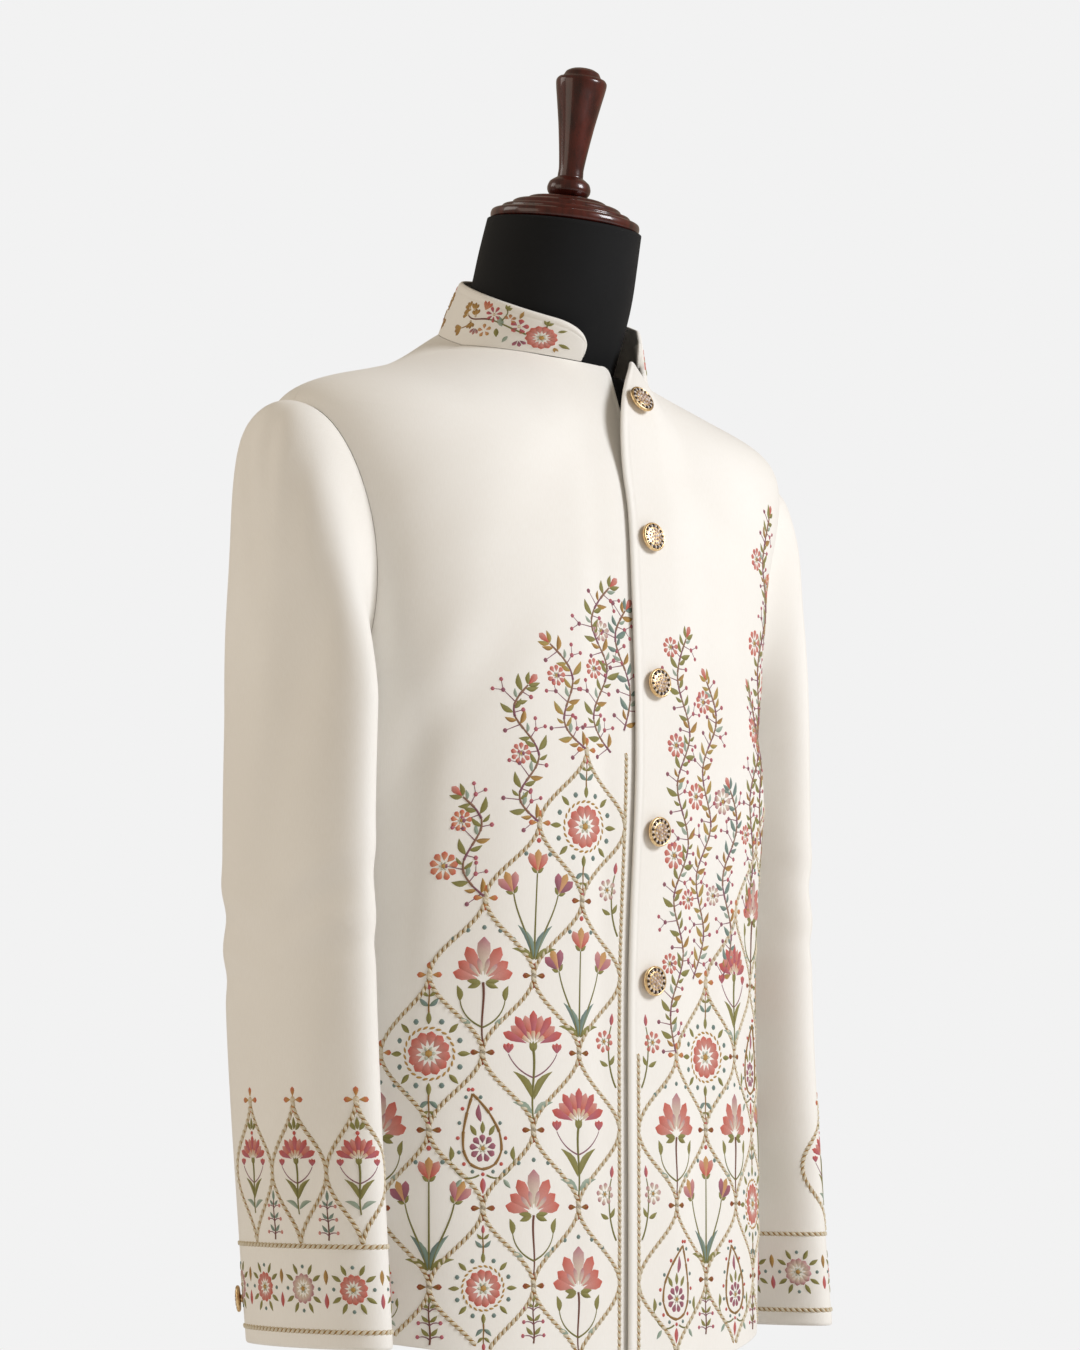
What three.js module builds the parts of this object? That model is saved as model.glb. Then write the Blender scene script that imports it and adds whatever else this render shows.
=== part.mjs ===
// Bandhgala suit jacket on a limbless tailor's dress form.
//
// The jacket is an ivory suiting shell cut as two fronts, two backs, two-piece sleeves and a stand
// collar. It closes left over right with five jewelled buttons. The collar and the upper fronts
// stay open in a narrow V, so the black form shows. The form carries the shoulders of the jacket,
// has a turned neck cap and finial, and stands on a short pole and a round base.
//
// Millimetres, +Z up. The front faces -Y and the wearer's left is +X. The origin is the centre of
// the underside of the base. Heights inside the tables are measured from the side hem.

import * as THREE from 'three';

// ---------------------------------------------------------------- driving dimensions

const HEM_HEIGHT = 245;        // side hem above the table
const CLOTH = 2.2;             // suiting wall with its canvas
const COLLAR_WALL = 3.0;       // stand collar, stiffened
const SEAM_GAP = 0.3;          // clear distance between two cut pieces

const UNDERARM_LEVEL = 4;      // torso level at the lowest point of the armhole
const SHOULDER_LEVEL = 6;      // torso level at the shoulder tip
const NECK_LEVEL = 8;          // torso level at the neck seam
const FRONT_BITE = THREE.MathUtils.degToRad(14);   // how far the armhole cuts into the front
const BACK_BITE = THREE.MathUtils.degToRad(18);    // and into the back

const OVERLAP_LIFT = 4.4;      // the left front rides this far above the right front
const COLLAR_LIFT = 14;        // and this far where it falls open at the neck
const LIFT_FULL_X = 24;        // the lift is full up to here
const LIFT_END_X = 66;         // and has died away here
const NECK_FALL = 0.30;        // levels that the left neck seam drops where it falls open
const EDGE_CORNER = 6;         // rounding of each front's top corner, over this many levels
const EDGE_CORNER_LEVELS = 0.12;

const BUTTON_HEIGHTS = [655, 559, 455, 351, 247];  // above the side hem
const BUTTON_X = [11, 5, 4, 4, 4];                 // from the centre front
const BUTTON_RADIUS = 10.5;
const CUFF_BUTTON_RADIUS = 9;
const CUFF_BUTTON_RISE = 29;   // centre of the cuff button above the cuff edge
const CUFF_BUTTON_TURN = THREE.MathUtils.degToRad(-66);

const FORM_EASE = 1.3;         // form below the cloth at the shoulders
const FORM_WAIST_EASE = 3.5;   // and at the waist and hem
const FORM_BOTTOM = 14;        // underside of the form above the side hem
const FORM_SHOULDER_X = 180;   // the form rounds off beyond this half width
const FORM_SHOULDER_SOFTNESS = 13;

const CAP_RADIUS = 55;
const CAP_TILT = THREE.MathUtils.degToRad(10);     // neck, cap and finial lean forward

const BASE_RADIUS = 150;
const BASE_HEIGHT = 26;
const POLE_RADIUS = 16;

// Level 0 is the hem, 4 the underarm, 6 the shoulder tip and 8 the neck seam.
const TORSO = table(
  ['zFront', 'zSide', 'zBack', 'halfWidth', 'frontDepth', 'backDepth', 'squareness'], [
    [-26, 4, -4, 178, 111, 124, 2.70],
    [112, 120, 118, 178, 112, 119, 2.75],
    [255, 255, 255, 175, 113, 102, 2.75],
    [370, 370, 372, 179, 119, 108, 2.80],
    [452, 450, 458, 182, 119, 118, 2.80],
    [535, 551, 564, 200, 115, 118, 2.60],
    [595, 641, 647, 226, 106, 104, 2.25],
    [649, 675, 704, 164, 90, 84, 1.85],
    [693, 707, 735, 70, 64, 69, 2.00],
  ]);

// Front edges by the same levels: x of the wearer's left edge, on top, and of the right edge.
const FRONT_EDGES = table(['left', 'right'], [
  [-16, 20], [-16, 20], [-16, 20], [-15.5, 20], [-15, 20], [-14.5, 19], [-11.5, 15], [-7, 7],
  [31, 18],
]);

// Sleeve stations from the foot of the sleeve head to the cuff edge.
const SLEEVE = table(['z', 'centreX', 'centreY', 'halfX', 'halfY'], [
  [430, 214, 4, 28, 76],
  [330, 215, 4, 28, 75],
  [220, 214, 0, 28, 73],
  [110, 213, -9, 28, 71],
  [2, 213, -20, 28, 69],
]);

// Neck of the form, from inside the neck seam up to the cap.
const NECK = table(['z', 'centreY', 'halfX', 'halfY', 'tiltDeg'], [
  [704, 2, 64, 58, 16],
  [743, -17, 60, 59, 12],
  [770, -25.5, 58.5, 59, 10.5],
  [800, -34, 56.5, 57.5, 10],
]);

// Top edge of the stand collar. It leans in from the neck seam.
const COLLAR_TOP = { z: 743, centreY: -16, halfX: 65, halfY: 63.5, tilt: 29 };
const COLLAR_RIGHT_END = THREE.MathUtils.degToRad(-10);
const COLLAR_LEFT_END = THREE.MathUtils.degToRad(43);
const COLLAR_CORNER = { left: 13, right: 31 };     // rounding of the top edge at each end

// How the left side falls open: the neck seam drops between the first and last of these turns
// and is lowest between the middle two, and the collar leans out and sinks up to the open turns.
const FALL_TURNS = [24, 37, 60, 88].map(THREE.MathUtils.degToRad);
const COLLAR_OPEN = { out: 4, drop: -2 };
const OPEN_TURNS = [50, 125].map(THREE.MathUtils.degToRad);

// Tab inside the left end of the collar: how far it reaches past the end and behind it, the
// band of the collar's rise that it covers, and the length of its rounded tip.
const TAB = { reach: 9, behind: 14, low: 0.30, high: 0.74, tip: 6 };
const TAB_WALL = 2;

// ---------------------------------------------------------------- small tools

/** Natural cubic spline through rows one level apart, read back by column name. */
function table(columns, rows) {
  const last = rows.length - 1;
  const bend = rows.map(() => columns.map(() => 0));
  columns.forEach((_, c) => {
    const upper = [0];
    const value = [0];
    for (let i = 1; i < last; i += 1) {
      const pivot = 4 - upper[i - 1];
      upper[i] = 1 / pivot;
      value[i] = (6 * (rows[i + 1][c] - 2 * rows[i][c] + rows[i - 1][c]) - value[i - 1]) / pivot;
    }
    for (let i = last - 1; i > 0; i -= 1) bend[i][c] = value[i] - upper[i] * bend[i + 1][c];
  });
  const read = (level) => {
    const k = Math.min(Math.max(Math.floor(level), 0), last - 1);
    const b = level - k;
    const a = 1 - b;
    const out = {};
    columns.forEach((name, c) => {
      out[name] = a * rows[k][c] + b * rows[k + 1][c]
        + ((a ** 3 - a) * bend[k][c] + (b ** 3 - b) * bend[k + 1][c]) / 6;
    });
    return out;
  };
  read.last = last;
  return read;
}

const smooth = (t) => {
  const u = Math.min(Math.max(t, 0), 1);
  return u * u * (3 - 2 * u);
};

const mix = (a, b, t) => a + (b - a) * t;

const steps = (count, from, to) =>
  Array.from({ length: count + 1 }, (_, i) => mix(from, to, i / count));

/** Outward unit normal of a surface of two parameters, by central differences. */
function normalOf(surface, u, v, du = 1e-3, dv = 1e-3) {
  const alongU = surface(u + du, v).sub(surface(u - du, v));
  const alongV = surface(u, v + dv).sub(surface(u, v - dv));
  return alongU.cross(alongV).normalize();
}

const materials = {};

/** Named material in a plain colour. */
function material(name, color, roughness = 0.8, metalness = 0) {
  materials[name] ??= new THREE.MeshStandardMaterial({ name, color, roughness, metalness });
  return materials[name];
}

const ivory = material('ivory_suiting', 0xf1ebdf);
const jersey = material('black_jersey', 0x17181a);
const mahogany = material('mahogany', 0x4a1710, 0.3);
const gilt = material('gilt_button', 0xc9a468, 0.3, 1);

const suit = new THREE.Group();
suit.name = 'bandhgala_suit';

/** Adds a closed mesh, turned the right way out, to the suit. */
function addMesh(name, points, faces, finish) {
  let volume = 0;
  for (const [a, b, c] of faces) volume += points[a].dot(points[b].clone().cross(points[c]));
  const outward = volume > 0 ? faces : faces.map(([a, b, c]) => [a, c, b]);
  const geometry = new THREE.BufferGeometry();
  geometry.setAttribute('position',
    new THREE.Float32BufferAttribute(points.flatMap((p) => [p.x, p.y, p.z]), 3));
  geometry.setIndex(outward.flat());
  geometry.computeVertexNormals();
  const mesh = new THREE.Mesh(geometry, finish);
  mesh.name = name;
  suit.add(mesh);
}

/** Cloth wall: a grid of outer points, its inner copy one wall deeper, and a closed rim. */
function addWall(name, rows, columns, outer, inner, finish) {
  const points = [];
  const width = columns.length;
  for (const skin of [outer, inner]) {
    for (const r of rows) for (const c of columns) points.push(skin(r, c));
  }
  const at = (skin, i, j) => (skin * rows.length + i) * width + j;
  const faces = [];
  const quad = (a, b, c, d) => faces.push([a, b, c], [a, c, d]);
  for (let i = 0; i + 1 < rows.length; i += 1) {
    for (let j = 0; j + 1 < width; j += 1) {
      quad(at(0, i, j), at(0, i, j + 1), at(0, i + 1, j + 1), at(0, i + 1, j));
      quad(at(1, i, j), at(1, i + 1, j), at(1, i + 1, j + 1), at(1, i, j + 1));
    }
    for (const [j, flip] of [[0, false], [width - 1, true]]) {
      const rim = [at(0, i, j), at(0, i + 1, j), at(1, i + 1, j), at(1, i, j)];
      quad(...(flip ? rim.reverse() : rim));
    }
  }
  for (let j = 0; j + 1 < width; j += 1) {
    for (const [i, flip] of [[0, true], [rows.length - 1, false]]) {
      const rim = [at(0, i, j), at(0, i, j + 1), at(1, i, j + 1), at(1, i, j)];
      quad(...(flip ? rim.reverse() : rim));
    }
  }
  addMesh(name, points, faces, finish);
}

/** Solid through closed rings of equal length, with a flat fan at each end. */
function addLoft(name, rings, finish) {
  const count = rings[0].length;
  const points = rings.flat();
  const faces = [];
  for (let i = 0; i + 1 < rings.length; i += 1) {
    for (let j = 0; j < count; j += 1) {
      const k = (j + 1) % count;
      faces.push([i * count + j, i * count + k, (i + 1) * count + k],
        [i * count + j, (i + 1) * count + k, (i + 1) * count + j]);
    }
  }
  [[rings[0], 0, true], [rings.at(-1), (rings.length - 1) * count, false]]
    .forEach(([ring, start, flip]) => {
      const middle = points.push(
        ring.reduce((sum, p) => sum.add(p), new THREE.Vector3()).divideScalar(count)) - 1;
      for (let j = 0; j < count; j += 1) {
        const edge = [start + j, start + ((j + 1) % count)];
        faces.push(flip ? [edge[1], edge[0], middle] : [edge[0], edge[1], middle]);
      }
    });
  addMesh(name, points, faces, finish);
}

/** Turned solid: a profile of [radius, height] pairs spun about an axis from a foot point. */
function addTurned(name, profile, foot, axis, segments, finish) {
  const turn = new THREE.Quaternion().setFromUnitVectors(new THREE.Vector3(0, 0, 1), axis);
  const rings = profile.map(([radius, height]) => steps(segments, 0, 2 * Math.PI).slice(0, -1)
    .map((a) => new THREE.Vector3(radius * Math.cos(a), radius * Math.sin(a), height)
      .applyQuaternion(turn).add(foot)));
  addLoft(name, rings, finish);
}

// ---------------------------------------------------------------- the cut of the torso

/** Point of the jacket's outer surface. The angle runs from the centre front to the left. */
function torso(level, angle) {
  const { zFront, zSide, zBack, halfWidth, frontDepth, backDepth, squareness } = TORSO(level);
  const s = Math.sin(angle);
  const c = Math.cos(angle);
  const depth = c > 0 ? frontDepth : backDepth;
  const radius = (Math.abs(s / halfWidth) ** squareness
    + Math.abs(c / depth) ** squareness) ** (-1 / squareness);
  const share = mix(c * c, Math.abs(c), smooth(level - 7));
  const z = zSide + ((c > 0 ? zFront : zBack) - zSide) * share;
  return new THREE.Vector3(radius * s, -radius * c, HEM_HEIGHT + z);
}

const torsoNormal = (level, angle) => normalOf((a, l) => torso(l, a), angle, level);

/** How far the left front stands off the torso at a level and an x. */
function lift(level, x) {
  const full = mix(OVERLAP_LIFT, COLLAR_LIFT, smooth((level - 6) / 1.2));
  return full * smooth((LIFT_END_X - x) / (LIFT_END_X - LIFT_FULL_X));
}

/** Level of the left front once its neck corner has fallen open. */
function fallen(level, angle) {
  const [first, full, fade, last] = FALL_TURNS;
  const share = smooth((angle - first) / (full - first)) * smooth((last - angle) / (last - fade));
  return level - NECK_FALL * smooth((level - 6.6) / 1.4) * share;
}

/** Angle of the armhole edge on the front or the back, and a quarter turn outside it. */
function sideAngle(level, bite) {
  const half = (SHOULDER_LEVEL - UNDERARM_LEVEL) / 2;
  const x = (level - UNDERARM_LEVEL - half) / half;
  return Math.PI / 2 - bite * Math.sqrt(Math.max(0, 1 - x * x));
}

/** Half the seam gap as an angle at a radius. */
const halfGap = (radius) => SEAM_GAP / 2 / radius + 2e-4;

const ARMHOLE_STEPS = 12;
const LEFT_COLUMNS = 14;
const BODY_LEVELS = [
  ...steps(10, 0, UNDERARM_LEVEL),
  ...steps(ARMHOLE_STEPS, 0, Math.PI).slice(1)
    .map((a) => UNDERARM_LEVEL + (1 - Math.cos(a)) / 2 * (SHOULDER_LEVEL - UNDERARM_LEVEL)),
  ...steps(6, SHOULDER_LEVEL, NECK_LEVEL - EDGE_CORNER_LEVELS).slice(1), NECK_LEVEL,
];

/** Body panel between two edges, each a function of level that gives a signed angle. */
function addPanel(name, columns, nearEdge, farEdge, opened = false) {
  const angleAt = (level, t) => mix(nearEdge(level), farEdge(level), t);
  const skin = (depth) => (level, t) => {
    const angle = angleAt(level, t);
    const place = opened ? fallen(level, angle) : level;
    const point = torso(place, angle);
    const offset = (opened ? lift(level, point.x) : 0) - depth;
    return point.addScaledVector(torsoNormal(place, angle), offset);
  };
  addWall(name, BODY_LEVELS, steps(columns, 0, 1), skin(0), skin(CLOTH), ivory);
}

/** Angle of a front's edge, rounded away at its top corner. */
function edgeAngle(level, side) {
  const t = Math.max(0, (level - NECK_LEVEL) / EDGE_CORNER_LEVELS + 1);
  const cut = EDGE_CORNER * (1 - Math.sqrt(1 - Math.min(t, 1) ** 2));
  const x = FRONT_EDGES(level)[side] + (side === 'left' ? cut : -cut);
  return Math.asin(x / TORSO(level).frontDepth);
}

const sideSeam = (bite) => (level) => sideAngle(level, bite) - halfGap(TORSO(level).halfWidth);
const frontSide = sideSeam(FRONT_BITE);
const backSide = (level) => Math.PI - sideSeam(BACK_BITE)(level);
const centreBack = (level) => Math.PI - halfGap(TORSO(level).backDepth);

addPanel('front_left', LEFT_COLUMNS, (l) => edgeAngle(l, 'left'), frontSide, true);
addPanel('front_right', 13, (l) => edgeAngle(l, 'right'), (l) => -frontSide(l));
addPanel('back_left', 10, backSide, centreBack);
addPanel('back_right', 10, (l) => -backSide(l), (l) => -centreBack(l));

// ---------------------------------------------------------------- sleeves

/** Armhole seam. The turn is 0 at the shoulder, a quarter at the front, a half underarm. */
function armhole(turn, side) {
  const middle = (UNDERARM_LEVEL + SHOULDER_LEVEL) / 2;
  const half = (SHOULDER_LEVEL - UNDERARM_LEVEL) / 2;
  const s = Math.sin(turn);
  const bite = (s > 0 ? FRONT_BITE : BACK_BITE) * s;
  return torso(middle + half * Math.cos(turn), side * (Math.PI / 2 - bite));
}

/** Flattened ring of the arm at a station. */
function armRing(station, turn, side) {
  const { z, centreX, centreY, halfX, halfY } = SLEEVE(station);
  return new THREE.Vector3(side * (centreX + halfX * Math.cos(turn)),
    centreY - halfY * Math.sin(turn), HEM_HEIGHT + z);
}

/**
 * Sleeve surface. From 0 to 1 is the head, a Hermite blend from the armhole to the first ring
 * that leaves the shoulder outward and slightly up, and from 1 on is the arm.
 */
function sleeve(way, turn, side) {
  if (way >= 1) return armRing(way - 1, turn, side);
  const from = armhole(turn, side);
  const to = armRing(0, turn, side);
  const top = (1 + Math.cos(turn)) / 2;
  const reach = from.distanceTo(to);
  const leave = new THREE.Vector3(side * (0.66 + 0.16 * top), 0, 0.26 * top - 0.35 * (1 - top))
    .multiplyScalar(0.9 * reach);
  const arrive = new THREE.Vector3(0, 0, -1.28 * reach);
  const t = way;
  return from.multiplyScalar(2 * t ** 3 - 3 * t ** 2 + 1)
    .addScaledVector(leave, t ** 3 - 2 * t ** 2 + t)
    .addScaledVector(to, 3 * t ** 2 - 2 * t ** 3)
    .addScaledVector(arrive, t ** 3 - t ** 2);
}

const SLEEVE_END = 1 + SLEEVE.last;
const SLEEVE_WAYS = [0.012, 0.07, 0.16, 0.28, 0.42, 0.58, 0.78, ...steps(8, 1, SLEEVE_END)];

/** Turns of the hindarm and forearm seams along the sleeve. */
const seamTurns = (way) => ({
  hindarm: THREE.MathUtils.degToRad(mix(-112.5, -84, smooth(way / SLEEVE_END))),
  forearm: THREE.MathUtils.degToRad(mix(150, 168, smooth(way / SLEEVE_END))),
});

/** One cut piece of a sleeve between two seam turns. */
function addSleevePiece(name, columns, side, turnsAt) {
  const skin = (depth) => (way, t) => {
    const [from, to] = turnsAt(way);
    const turn = mix(from, to, t);
    const point = sleeve(way, turn, side);
    const sided = (a, w) => sleeve(Math.max(w, 0), a, side);
    const normal = normalOf(sided, turn, way).multiplyScalar(side);
    return point.addScaledVector(normal, -depth);
  };
  addWall(name, SLEEVE_WAYS, steps(columns, 0, 1), skin(0), skin(CLOTH), ivory);
}

const SLEEVE_GAP = THREE.MathUtils.degToRad(0.35);

for (const [side, label] of [[1, 'left'], [-1, 'right']]) {
  addSleevePiece(`sleeve_top_${label}`, 16, side, (way) => {
    const { hindarm, forearm } = seamTurns(way);
    return [hindarm + SLEEVE_GAP, forearm - SLEEVE_GAP];
  });
  addSleevePiece(`sleeve_under_${label}`, 8, side, (way) => {
    const { hindarm, forearm } = seamTurns(way);
    return [forearm + SLEEVE_GAP, hindarm + 2 * Math.PI - SLEEVE_GAP];
  });
}

// ---------------------------------------------------------------- collar

/** Collar surface. The rise is 0 at the neck seam and 1 at the top edge. */
function collar(rise, angle) {
  const level = fallen(NECK_LEVEL, angle);
  const foot = torso(level, angle);
  const raise = lift(NECK_LEVEL, angle > 0 && angle < Math.PI / 2 ? foot.x : LIFT_END_X);
  foot.addScaledVector(torsoNormal(level, angle), raise);
  foot.z += 2 * SEAM_GAP;
  const { z, centreY, halfX, halfY, tilt } = COLLAR_TOP;
  const top = new THREE.Vector3(halfX * Math.sin(angle), centreY - halfY * Math.cos(angle),
    HEM_HEIGHT + z - tilt * Math.cos(angle));
  const out = new THREE.Vector3(Math.sin(angle), -Math.cos(angle), 0);
  const share = smooth((OPEN_TURNS[1] - angle) / (OPEN_TURNS[1] - OPEN_TURNS[0]));
  top.addScaledVector(out, raise * 0.8 + COLLAR_OPEN.out * share);
  top.z += raise * 0.35 - COLLAR_OPEN.drop * share;
  return foot.lerp(top, rise);
}

// The collar turns where the left front's columns meet it, and then evenly round the neck.
const OPEN_COLLAR_TURNS = [COLLAR_LEFT_END,
  ...steps(LEFT_COLUMNS, edgeAngle(NECK_LEVEL, 'left'), Math.PI / 2)
    .filter((angle) => angle > COLLAR_LEFT_END + 0.01)];
const COLLAR_TURNS = [...OPEN_COLLAR_TURNS,
  ...steps(28, Math.PI / 2, 2 * Math.PI + COLLAR_RIGHT_END).slice(1)];

/** Height of the collar's top edge, rounded down to each front end. */
function collarRise(angle) {
  const radius = (COLLAR_TOP.halfX + COLLAR_TOP.halfY) / 2;
  const fromLeft = (angle - COLLAR_LEFT_END) * radius / COLLAR_CORNER.left;
  const fromRight = (2 * Math.PI + COLLAR_RIGHT_END - angle) * radius / COLLAR_CORNER.right;
  const t = Math.max(Math.min(fromLeft, fromRight, 1), 0);
  return mix(0.36, 1, Math.sqrt(1 - (1 - t) ** 2));
}

const collarSkin = (depth) => (rise, angle) => {
  const way = rise * collarRise(angle);
  return collar(way, angle)
    .addScaledVector(normalOf((a, r) => collar(r, a), angle, way), -depth);
};
addWall('collar', steps(3, 0, 1), COLLAR_TURNS, collarSkin(0), collarSkin(COLLAR_WALL), ivory);

const tabRadius = (COLLAR_TOP.halfX + COLLAR_TOP.halfY) / 2;
const tabTurns = [...steps(5, COLLAR_LEFT_END - TAB.reach / tabRadius, COLLAR_LEFT_END),
  ...OPEN_COLLAR_TURNS.filter((angle) => angle > COLLAR_LEFT_END
    && angle < COLLAR_LEFT_END + TAB.behind / tabRadius)];

const tabSkin = (depth) => (across, angle) => {
  const t = Math.min((angle - tabTurns[0]) * tabRadius / TAB.tip, 1);
  const half = (TAB.high - TAB.low) / 2 * mix(0.3, 1, Math.sqrt(1 - (1 - t) ** 2));
  const way = (TAB.low + TAB.high) / 2 + across * half;
  return collar(way, angle).addScaledVector(normalOf((a, r) => collar(r, a), angle, way), -depth);
};
addWall('collar_tab', steps(2, -1, 1), tabTurns, tabSkin(COLLAR_WALL + SEAM_GAP),
  tabSkin(COLLAR_WALL + SEAM_GAP + TAB_WALL), ivory);

// ---------------------------------------------------------------- buttons

/** Level of the torso whose centre front is at a height above the side hem. */
function levelAt(height) {
  let low = 0;
  let high = NECK_LEVEL;
  for (let i = 0; i < 40; i += 1) {
    const middle = (low + high) / 2;
    if (TORSO(middle).zFront < height) low = middle; else high = middle;
  }
  return (low + high) / 2;
}

/** Shank, rim and domed face of a jewelled button, as radius and height over its radius. */
const BUTTON_PROFILE = [
  [0.30, 0.0], [0.30, 0.14], [0.86, 0.20], [1.0, 0.30], [1.0, 0.40], [0.93, 0.47],
  [0.84, 0.44], [0.55, 0.52], [0.22, 0.56],
];

function addButton(name, radius, foot, normal) {
  addTurned(name, BUTTON_PROFILE.map(([r, h]) => [r * radius, h * radius]),
    foot.addScaledVector(normal, SEAM_GAP), normal, 12, gilt);
}

BUTTON_HEIGHTS.forEach((height, i) => {
  const level = levelAt(height);
  const angle = Math.asin(BUTTON_X[i] / TORSO(level).frontDepth);
  const foot = torso(level, angle);
  const normal = torsoNormal(level, angle);
  foot.addScaledVector(normal, lift(level, foot.x));
  addButton(`button_${i + 1}`, BUTTON_RADIUS, foot, normal);
});

for (const [side, label] of [[1, 'left'], [-1, 'right']]) {
  const { z: first } = SLEEVE(SLEEVE.last - 1);
  const { z: last } = SLEEVE(SLEEVE.last);
  const way = SLEEVE_END - CUFF_BUTTON_RISE / (first - last);
  const onSleeve = (a, w) => sleeve(w, a, side);
  addButton(`cuff_button_${label}`, CUFF_BUTTON_RADIUS, sleeve(way, CUFF_BUTTON_TURN, side),
    normalOf(onSleeve, CUFF_BUTTON_TURN, way).multiplyScalar(side));
}

// ---------------------------------------------------------------- dress form

const FORM_TURNS = steps(48, 0, 2 * Math.PI).slice(0, -1);

/** Form under the cloth, flat at its foot and rounded off at the shoulders. */
function formBody(level, angle) {
  const ease = mix(FORM_WAIST_EASE, FORM_EASE, smooth((level - 4.4) / 1.6));
  const point = torso(level, angle)
    .addScaledVector(torsoNormal(level, angle), -(CLOTH + ease));
  const over = Math.abs(point.x) - FORM_SHOULDER_X;
  if (over > 0) {
    point.x = Math.sign(point.x)
      * (FORM_SHOULDER_X + FORM_SHOULDER_SOFTNESS * Math.tanh(over / FORM_SHOULDER_SOFTNESS));
  }
  const flat = HEM_HEIGHT + mix(FORM_BOTTOM, TORSO(2).zSide, level / 2);
  point.z = mix(flat, point.z, smooth(level / 1.6));
  return point;
}

/** Ring of the neck column, leaning forward. */
function formNeck(step, angle) {
  const { z, centreY, halfX, halfY, tiltDeg } = NECK(step);
  const back = -halfY * Math.cos(angle);
  const tilt = THREE.MathUtils.degToRad(tiltDeg);
  return new THREE.Vector3(halfX * Math.sin(angle), centreY + back * Math.cos(tilt),
    HEM_HEIGHT + z + back * Math.sin(tilt));
}

const FORM_LEVELS = [...steps(8, 0, 4), 4.4, 4.8, 5.2, 5.6, 5.8, 6, 6.33, 6.67, 7,
  7.2, 7.4, 7.6, 7.76, 7.9];
addLoft('form_body', [
  ...FORM_LEVELS.map((level) => FORM_TURNS.map((a) => formBody(level, a))),
  ...steps(6, 0, NECK.last).map((step) => FORM_TURNS.map((a) => formNeck(step, a))),
], jersey);

const neckTop = NECK(NECK.last);
const capAxis = new THREE.Vector3(0, -Math.sin(CAP_TILT), Math.cos(CAP_TILT));
const capFoot = new THREE.Vector3(0, neckTop.centreY, HEM_HEIGHT + neckTop.z)
  .addScaledVector(capAxis, SEAM_GAP);

/** Stepped cap with a rolled rim, as radius and height. */
const CAP_PROFILE = [
  [52.5, 0], [54.4, 1.2], [CAP_RADIUS, 4], [54.2, 6.8], [52, 8], [48, 8.4], [47.6, 10.2],
  [46.2, 11.6], [41, 12.6], [39.6, 15.2], [37, 16.6], [30, 17.6], [28.6, 19.4], [26, 20.4], [10, 21],
];
addTurned('neck_cap', CAP_PROFILE, capFoot, capAxis, 32, mahogany);

/** Ball, tapered handle and domed top of the finial, as radius and height over the cap. */
const FINIAL_PROFILE = [
  [10, 0], [13.5, 1.5], [15.6, 4.5], [16, 7.5], [14.6, 11.5], [11.6, 14], [9.6, 15.4], [9.4, 17],
  [9.2, 22], [10.8, 36], [13.4, 54], [16.6, 72], [18.4, 82], [18.6, 86], [17, 88.4],
  [14.6, 89.2], [13.6, 90.4], [12, 93.2], [8, 95.4], [3, 96.4],
];
addTurned('finial', FINIAL_PROFILE,
  capFoot.clone().addScaledVector(capAxis, CAP_PROFILE.at(-1)[1] + SEAM_GAP), capAxis, 20, mahogany);

// ---------------------------------------------------------------- stand

const up = new THREE.Vector3(0, 0, 1);
const POLE_TOP = HEM_HEIGHT + FORM_BOTTOM - SEAM_GAP;
const POLE_FOOT = BASE_HEIGHT + SEAM_GAP;
addTurned('stand_pole', [
  [24, 0], [26, 3], [24, 7], [19, 10], [POLE_RADIUS, 16],
  [POLE_RADIUS, POLE_TOP - POLE_FOOT - 8], [30, POLE_TOP - POLE_FOOT - 5],
  [30, POLE_TOP - POLE_FOOT],
], new THREE.Vector3(0, 0, POLE_FOOT), up, 24, mahogany);
addTurned('stand_base', [
  [BASE_RADIUS - 3, 0], [BASE_RADIUS, 3], [BASE_RADIUS, 12], [BASE_RADIUS - 4, 17],
  [BASE_RADIUS - 14, 19], [BASE_RADIUS - 60, 21], [BASE_RADIUS - 110, BASE_HEIGHT],
], new THREE.Vector3(0, 0, 0), up, 40, mahogany);

export default suit;
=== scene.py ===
"""Ivory bandhgala jacket with embroidered fronts, cuffs and collar, worn by a tailor's dress form.

The jacket's block is repeated here as formulas in millimetres, in the frame of the solids: the
front faces -Y, the wearer's left is +X and heights in the tables are above the side hem. Every
cloth piece is a thin wall on that block, and all needlework is laid on the same surfaces.
"""

import logging
from dataclasses import dataclass, field
from enum import Enum
from math import atan2, cos, degrees, inf, pi, radians, sin
from typing import Callable, Sequence

import bpy
import numpy as np
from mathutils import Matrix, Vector


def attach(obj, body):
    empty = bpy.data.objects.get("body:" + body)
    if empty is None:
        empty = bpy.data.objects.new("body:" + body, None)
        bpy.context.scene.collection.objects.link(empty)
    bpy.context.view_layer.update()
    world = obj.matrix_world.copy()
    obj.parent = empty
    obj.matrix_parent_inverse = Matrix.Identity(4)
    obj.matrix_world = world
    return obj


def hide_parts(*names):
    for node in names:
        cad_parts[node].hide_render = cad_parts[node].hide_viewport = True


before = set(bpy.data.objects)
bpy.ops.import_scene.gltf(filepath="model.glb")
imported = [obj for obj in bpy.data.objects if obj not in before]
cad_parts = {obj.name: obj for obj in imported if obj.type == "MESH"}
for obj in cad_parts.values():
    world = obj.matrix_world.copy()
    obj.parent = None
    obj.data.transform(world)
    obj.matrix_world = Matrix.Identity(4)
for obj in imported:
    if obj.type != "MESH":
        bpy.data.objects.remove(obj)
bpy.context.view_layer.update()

log = logging.getLogger("bandhgala")
MM = 0.001
HEM = 245.0                      # side hem above the table
Array = np.ndarray
Material = bpy.types.Material
Mesh = bpy.types.Mesh
Piece = bpy.types.Object
Triple = tuple[float, float, float]
Place = tuple[float, float]
Path = Sequence[Place]
Surface = Callable[[Array, Array], Array]
HemLine = Callable[[Array], Array]


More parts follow.
